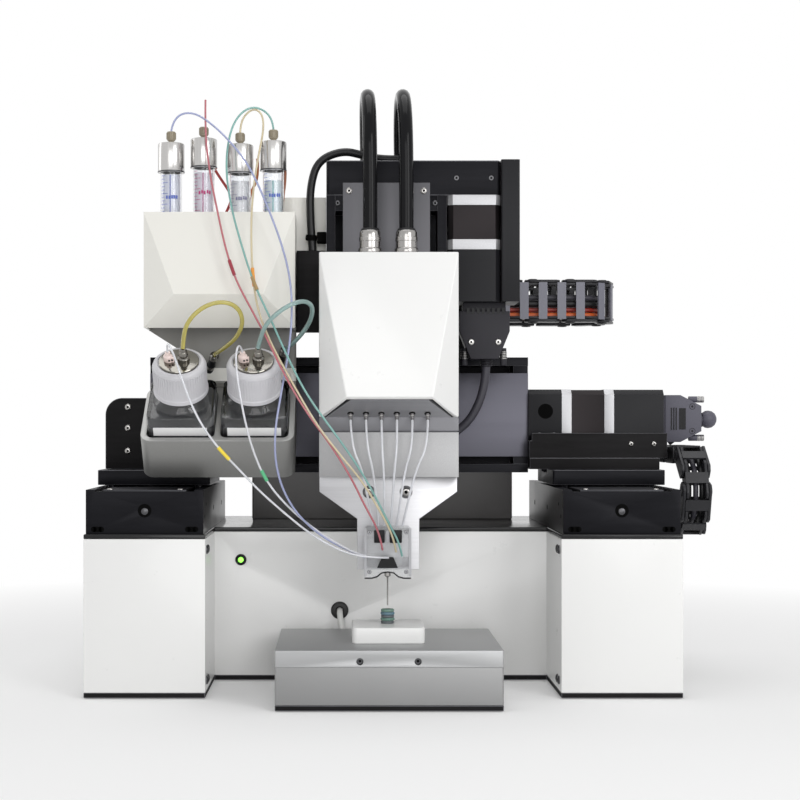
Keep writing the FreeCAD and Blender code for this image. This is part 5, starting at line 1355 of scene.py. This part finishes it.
def nozzle_plate_details(form):
    """The two screws that hold the plate, in dark rings of painted shade for their counterbores, and their
    holes at the back.
    """
    z = 156.8
    for x in (-10.7, 17.9):
        hole_in(form, (x, 14.0, z), -Y, 5.0, 0)
        button_screw_in(form, (x, 13.9, z), -Y, 3.5, 1.2, BRIGHT)
        hole_in(form, (x, 26.0, z), Y, 3.2)


guide_grey = moulded("cartridge_guide", (0.42, 0.42, 0.44), 0.3)


def cartridge():
    """The clear microfluidic cartridge: gaskets, flow core, humped lower edge and side guides."""
    form = solid_copy("cartridge")
    soften(piece("cartridge_glass", form, cartridge_clear, "head", ("cartridge",)), 0.35, 2)
    form = bmesh.new()
    for left, right in ((-7.0, 1.2), (5.0, 14.4)):
        made = box_in(form, (left, 3.2, 118.2), (right, 4.15, 128.1))
        round_in(form, edges_of(made), 0.7)
    made = box_in(form, (-4.7, 3.3, 99.0), (11.4, 4.2, 107.4))
    for vert in made:
        if vert.co.z > 103:
            vert.co.x = NEEDLE_X + (vert.co.x - NEEDLE_X) * 0.55
    edge = [(-14.3, 91.2), (-8.6, 91.2), (-4.6, 92.4), (-1.2, 95.2), (NEEDLE_X, 96.0)]
    edge += [(2 * NEEDLE_X - x, z) for x, z in reversed(edge[:-1])]
    for (x0, z0), (x1, z1) in zip(edge, edge[1:]):
        rod_in(form, (x0, 3.8, z0), (x1, 3.8, z1), 0.55, 10)
    creased("cartridge_seals", form, black_seal_and_hole_shade, "head")
    form = bmesh.new()
    for low, high in ((-14.6, -12.6), (19.6, 21.6)):
        box_in(form, (low, 2.9, 93.0), (high, 4.1, 129.5))
    for x in (-10.6, 17.6):
        for z in (96.0, 126.5):
            cap_screw_in(form, (x, 4.0, z), -Y, 1.3)
    box_in(form, (2.2, 3.0, 118.6), (4.4, 3.9, 127.6))
    soften(piece("cartridge_guides", form, (guide_grey, black_seal_and_hole_shade), "head"), 0.2, 2)


def head_fittings():
    """The hoses' barrels and collars, and the ferrules of the ports."""
    barrel = [(0, 0), (9.0, 0), (9.2, 0.4), (9.2, 3.6), (8.8, 4.2), (8.2, 4.6), (8.2, 9.4)]
    barrel += [(8.6, 9.8), (8.6, 12.6), (8.2, 13.0), (8.2, 16.6), (7.4, 17.8), (6.0, 18.0), (0, 18.0)]
    ferrule = [(1.0, 0), (1.6, 0), (1.75, 0.4), (1.75, 2.4)]
    ferrule += [(1.35, 2.9), (1.35, 5.8), (1.0, 5.8), (1.0, 0)]
    form = bmesh.new()
    for x in HOSE_PLACES:
        lathe_in(form, barrel, (x, 12.0, COVER_TOP), Z, 48)
    for number in range(PORTS):
        lathe_in(form, ferrule, port_place(number) + port_way * 0.2, port_way, 24)
    creased("hose_barrels_and_ferrules", form, bright_steel, "head", ("head_fittings",))
    upper = [(5.5, 17.6), (7.0, 17.6), (7.2, 18.4), (6.4, 19.6), (5.5, 19.8), (5.5, 17.6)]
    lower = [(5.5, -1.2), (7.6, -1.2), (7.8, 0.2), (6.6, 2.2), (5.5, 2.4), (5.5, -1.2)]
    form = bmesh.new()
    for x in HOSE_PLACES:
        lathe_in(form, upper, (x, 12.0, COVER_TOP), Z, 40)
        lathe_in(form, lower, (x, 98.0, HOSE_FOOT), Z, 40)
    creased("hose_collars", form, black_seal_and_hole_shade, "head")


def print_head():
    dress("head_cover", white_enamel, "head", 0.9, 3)
    port_block()
    dress("nozzle_plate", milled_pale, "head", 0.35, detail=nozzle_plate_details)
    cartridge()
    creased("needle_form", solid_copy("needle"), bright_steel, "head", ("needle",))
    head_fittings()


# Reservoirs: tubes, shroud, tray and bottles
# A darker copy of the tray metal for its front and sides: painted shade.
tray_front = blasted("tray_front", (0.20, 0.20, 0.19), 0.5, 3200.0)
panel_grey = enamel("panel_grey", (0.19, 0.185, 0.17), 0.45)
tube_mark_blue = moulded("tube_mark_blue", (0.10, 0.16, 0.55), 0.5)
tube_mark_red = moulded("tube_mark_red", (0.50, 0.05, 0.20), 0.5)
tube_mark_grey = moulded("tube_mark_grey", (0.22, 0.22, 0.34), 0.5)
TUBE_MARKS = (tube_mark_blue, tube_mark_red, tube_mark_grey, tube_mark_blue)
TUBE_FILLS = (
    liquid("blue_fill", (0.74, 0.75, 0.82)),
    liquid("rose_fill", (0.78, 0.73, 0.79)),
    liquid("clear_fill", (0.76, 0.76, 0.77)),
    liquid("aqua_fill", (0.72, 0.79, 0.81)),
)
# The thin tubes that dip into the fills, by the number of their sample tube: the clear one has none
DIP_TUBES = {
    0: moulded("blue_dip_tube", (0.22, 0.26, 0.55), 0.4),
    1: moulded("rose_dip_tube", (0.58, 0.22, 0.40), 0.4),
    3: moulded("teal_dip_tube", (0.22, 0.52, 0.54), 0.4),
}
TUBE_LIFTS = (1.0, 4.6, 0.0, 2.4)
TUBE_LOW, TUBE_RADIUS, TUBE_LENGTH = 291.3, 8.3, 118.0
TUBE_WALL, FILL_GAP = 0.9, 1.2
CAP_LOW, CAP_HEIGHT, CAP_RADIUS = 405.3, 23.0, 10.4


# Thickness of the printed marks, and how far they stand off the tube's wall
MARK_DEPTH, MARK_GAP = 0.12, 0.02


def arc_mark_in(form, centre, turn, sweep, height, paint):
    """A printed dash that follows a tube's round wall, as blocks of at most about 12 degrees."""
    steps = max(1, round(sweep / 12))
    for step in range(steps):
        for vert in box_in(form, (0, 0, 0), (1, 1, height), paint):
            angle = math.radians(turn + sweep * (step + vert.co.x) / steps)
            reach = TUBE_RADIUS + MARK_GAP + MARK_DEPTH * (1 - vert.co.y)
            around = Vector((math.sin(angle) * reach, -math.cos(angle) * reach, vert.co.z))
            vert.co = around + Vector(centre)


def sample_tubes():
    """Clear graduated tubes with their fills."""
    walls, fills, marks = bmesh.new(), bmesh.new(), bmesh.new()
    for number, (x, lift) in enumerate(zip(TUBE_PLACES, TUBE_LIFTS)):
        low = TUBE_LOW + lift
        bore = TUBE_RADIUS - TUBE_WALL
        wall = [(0, 0), (2.0, 0), (TUBE_RADIUS, 22), (TUBE_RADIUS, TUBE_LENGTH), (bore, TUBE_LENGTH)]
        wall += [(bore, 22.3), (1.4, 1.2), (0, 1.2)]
        lathe_in(walls, wall, (x, TUBE_Y, low), Z, 48)
        level = 112.0 - 2 * number
        wide = TUBE_RADIUS - FILL_GAP
        fill = [(0, 1.6), (1.2, 1.6), (wide, 22.5), (wide, level), (0, level - 1.0)]
        lathe_in(fills, fill, (x, TUBE_Y, low), Z, 40, number)
        if number in DIP_TUBES:
            foot, top = (x, TUBE_Y - wide, low + 26.0), (x, TUBE_Y - wide, low + level - 0.5)
            rod_in(fills, foot, top, 0.55, 12, len(TUBE_FILLS) + list(DIP_TUBES).index(number))
        for step in range(12):
            rise = 80.0 + step * 2.8
            sweep = 26 if step % 3 else 44
            arc_mark_in(marks, (x, TUBE_Y, low + rise), -58, sweep, 0.35, number)
        for step in range(5):
            turn = -22 + step * 14 + chance.uniform(-2, 2)
            rise = 93.0 + chance.uniform(-0.5, 0.5)
            arc_mark_in(marks, (x, TUBE_Y, low + rise), turn, 9, 2.6, number)
    creased("tube_walls", walls, tube_wall, CARRIAGE, ("sample_tubes",))
    creased("tube_fills", fills, (*TUBE_FILLS, *DIP_TUBES.values()), CARRIAGE)
    piece("tube_marks", marks, TUBE_MARKS, CARRIAGE)


def ribs_in(form, base, radius, low, high, count, width, rise):
    """Straight grip ribs around an upright turned part."""
    for number in range(count):
        made = box_in(form, (-width / 2, radius - 0.4, low), (width / 2, radius + rise, high))
        spin = Matrix.Rotation(math.tau * number / count, 3, "Z")
        bmesh.ops.rotate(form, verts=made, cent=(0, 0, 0), matrix=spin)
        bmesh.ops.translate(form, verts=made, vec=base)


def tube_caps():
    """Polished caps with a dark lower rim, and the tan knurled nuts on them."""
    shell = [(8.5, 0), (10.2, 0), (CAP_RADIUS, 0.4), (CAP_RADIUS, CAP_HEIGHT - 1.2)]
    shell += [(10.0, CAP_HEIGHT - 0.3), (9.2, CAP_HEIGHT), (0, CAP_HEIGHT), (0, 4.0), (8.5, 4.0), (8.5, 0)]
    rim = [(8.6, 0.02), (10.45, 0.02), (10.6, 0.5), (10.45, 1.1), (8.6, 1.1), (8.6, 0.02)]
    nut = [(0, 0), (1.9, 0), (1.9, 1.6), (2.6, 2.2), (3.3, 2.8)]
    nut += [(3.5, 3.6), (3.5, 8.6), (3.1, 9.3), (1.2, 9.4), (0, 9.4)]
    caps, nuts = bmesh.new(), bmesh.new()
    for x, lift in zip(TUBE_PLACES, TUBE_LIFTS):
        foot = (x, TUBE_Y, CAP_LOW + lift)
        lathe_in(caps, shell, foot, Z, 56)
        lathe_in(caps, rim, foot, Z, 56, 1)
        foot = (x, TUBE_Y, CAP_LOW + lift + CAP_HEIGHT)
        lathe_in(nuts, nut, foot, Z, 32)
        ribs_in(nuts, foot, 3.5, 3.6, 8.4, 18, 0.7, 0.3)
    finishes = (tube_cap_steel, dark_steel_and_recess_shade)
    creased("tube_caps", caps, finishes, CARRIAGE, ("reservoir_caps",))
    creased("tube_nuts", nuts, tan_plastic, CARRIAGE, ("line_fittings",))


tube_cap_steel = brushed("satin_turned_cap", (0.54, 0.53, 0.52), "z", 0.22, 260.0, 0.000003)
orange_lead = moulded("orange_lead", (0.55, 0.14, 0.03), 0.4)
red_lead = moulded("red_lead", (0.42, 0.04, 0.035), 0.4)
brown_lead = moulded("brown_lead", (0.34, 0.12, 0.06), 0.4)
TUBE_LEADS = (
    (
        "red_tube_lead",
        red_lead,
        [
            (-131.8, 43, 410), (-127, 44.5, 402.5), (-122, 45, 395.5),
            (-118.8, 45, 389), (-120.6, 44.5, 382), (-126, 43.5, 371),
        ],
    ),
    (
        "orange_tube_lead",
        orange_lead,
        [
            (-98.4, 42, 419), (-98, 44, 411), (-99.4, 45, 401),
            (-103.8, 45, 393), (-105.2, 44.5, 384), (-105.2, 43.5, 371),
        ],
    ),
    (
        "brown_tube_lead",
        brown_lead,
        [(-76.3, 42, 408.5), (-76.6, 44.5, 400), (-78.2, 45, 390), (-79.2, 43, 371)],
    ),
)


def tube_leads():
    """Short coloured leads that show behind the tubes and run down into the shroud."""
    for name, finish, route in TUBE_LEADS:
        obj = swept(name, route, 1.1, finish)
        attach(obj, CARRIAGE)


def lean_form(form):
    """Brings a form from the tray's own frame to its leaning place."""
    bmesh.ops.rotate(form, verts=form.verts, cent=(0, 0, 0), matrix=lean)
    bmesh.ops.translate(form, verts=form.verts, vec=(0, TRAY_FRONT, TRAY_LOW))
    return form


def bottle_caps():
    """Ribbed frosted caps with a polished disc, a hose barb and a pale plug on each."""
    cap = [(0, 0), (20.6, 0), (21.1, 0.6), (21.1, 3.2), (20.5, 4.0), (20.2, 24.0)]
    cap += [(19.6, 25.6), (18.2, 26.8), (16.6, CAP_RISE), (16.2, 26.2), (0, 26.2)]
    disc = [(0, -0.6), (15.4, -0.6), (15.4, 0.4), (14.9, 0.9), (14.2, 1.0), (0, 1.0)]
    barb = [(0, 0.9), (4.6, 0.9), (4.6, 3.8), (4.0, 4.4), (3.1, 4.8), (3.1, 6.0), (3.5, 6.3)]
    barb += [(3.0, 8.4), (2.3, 9.2), (2.9, 9.6), (2.3, 11.6), (1.7, BARB), (0, BARB)]
    plug = [(0, 0.9), (3.3, 0.9), (3.5, 1.4), (3.5, 5.2), (3.0, 5.8), (2.2, 6.4), (2.1, 8.4), (0, PLUG)]
    caps, metal, pale = bmesh.new(), bmesh.new(), bmesh.new()
    for side in (-1, 1):
        x = TRAY_MIDDLE[0] + side * BOTTLE_STEP
        y = TRAY_MIDDLE[1]
        foot = (x, y, CAP_TOP - CAP_RISE)
        lathe_in(caps, cap, foot, Z, 72)
        ribs_in(caps, foot, 20.1, 5.0, 23.2, 60, 1.0, 0.55)
        lathe_in(metal, disc, (x, y, CAP_TOP), Z, 64)
        lathe_in(metal, barb, (x + BARB_ACROSS, y, CAP_TOP), Z, 32)
        lathe_in(pale, plug, (x + PLUG_ACROSS, y, CAP_TOP), Z, 28)
        for across, depth in ((PLUG_ACROSS + 1.2, -2.6), (PLUG_ACROSS + 3.4, -1.8)):
            middle = Vector((x + across, y + depth, CAP_TOP))
            box_in(pale, middle + Vector((-1.4, -1.2, 1.2)), middle + Vector((1.4, 1.2, 5.0)))
            front = middle + Vector((0, -1.4, 3.4))
            rod_in(pale, front, front + Y * 0.3, 0.8, 16, 1)
    creased("bottle_caps", lean_form(caps), frosted_plastic, CARRIAGE)
    creased("bottle_discs_and_barbs", lean_form(metal), polished, CARRIAGE)
    creased("bottle_plugs", lean_form(pale), (pink_plastic, black_seal_and_hole_shade), CARRIAGE)


def bottles():
    """Square clear bottles with dark contents, and the plain white strips on their fronts."""
    glass = piece("bottle_glass", solid_copy("bottles"), bottle_glass, CARRIAGE, ("bottles",))
    soften(glass, 1.2, 3, 20)
    inside, strips = bmesh.new(), bmesh.new()
    for side in (-1, 1):
        x, y = TRAY_MIDDLE[0] + side * BOTTLE_STEP, TRAY_MIDDLE[1]
        made = box_in(inside, (x - 22.6, y - 22.6, TRAY_WALL + 3), (x + 22.6, y + 22.6, TRAY_WALL + 35))
        upright = [e for e in edges_of(made) if abs(e.verts[0].co.z - e.verts[1].co.z) > 1]
        round_in(inside, upright, 5, 4)
        box_in(strips, (x - 20.5, y - 25.75, TRAY_HEIGHT - 1.4), (x + 20.5, y - 25.45, TRAY_HEIGHT + 6.2))
    dark_fill = liquid("dark_fill", (0.10, 0.10, 0.105))
    creased("bottle_contents", lean_form(inside), dark_fill, CARRIAGE)
    piece("bottle_strips", lean_form(strips), white_plastic, CARRIAGE)


def tray_paint(face):
    """The tray's upper faces take the plain tray metal and look brighter; its front and sides take a darker
    copy of it, painted shade.
    """
    return 0 if face.normal.dot(lean @ Z) > 0.9 else 1


def gas_ports():
    """The push-in connectors of the two gas tubes on the panel, leaning up to the right."""
    form = bmesh.new()
    ring = [(2.8, 3.0), (3.55, 3.0), (3.55, 6.0), (2.8, 6.0), (2.8, 3.0)]
    for x, z in ((-131.0, 264.0), (-76.0, 268.0)):
        foot = Vector((x - 6.0, 50.0, z - 11.0))
        along = Vector((x, 32.2, z)) - foot
        tip = along.length
        body = [(0, -1.5), (3.3, -1.5), (3.3, 7.0), (2.9, 7.6), (2.9, tip - 6.0), (0, tip - 6.0)]
        collar = [(0, tip - 6.2), (3.5, tip - 6.2), (3.6, tip - 1.4), (2.9, tip - 0.4), (0, tip - 0.2)]
        for profile, paint in ((body, 1), (collar, 0), (ring, 0)):
            lathe_in(form, profile, foot, along, 28, paint)
    creased("gas_ports", form, (bright_steel, black_plastic), CARRIAGE)


PANEL_BAND, BAND_LEFT = (243.6, 253.9), -160.0
WHITE_ABOVE, WHITE_BEHIND = 352.0, 61.0


def panel_paint(face):
    """A white band crosses the grey panel behind the bottle caps."""
    middle = face.calc_center_median()
    return 1 if PANEL_BAND[0] < middle.z < PANEL_BAND[1] and middle.x > BAND_LEFT else 0


def bracket_paint(face):
    """White above and behind, black on the part that shows below the shroud."""
    middle = face.calc_center_median()
    return 0 if middle.z > WHITE_ABOVE or middle.y > WHITE_BEHIND else 1


def reservoirs():
    dress("reservoir_shroud", warm_enamel, CARRIAGE, 0.8, 3)
    seams = [((0, 0, height), Z) for height in PANEL_BAND]
    seams.append(((BAND_LEFT, 0, 0), X))
    finishes = (panel_grey, warm_enamel)
    dress("reservoir_panel", finishes, CARRIAGE, 0.5, paint=panel_paint, seams=seams)
    dress("reservoir_bracket", (warm_enamel, black_matte), CARRIAGE, 0.4, paint=bracket_paint)
    dress("bottle_tray", (tray_metal, tray_front), CARRIAGE, 1.0, 3, tray_paint)
    sample_tubes()
    tube_caps()
    tube_leads()
    bottle_caps()
    bottles()
    gas_ports()


camera()
studio()
cords()
base()
print_bed()
stages()
brackets()
chains()
plugs()
print_head()
reservoirs()
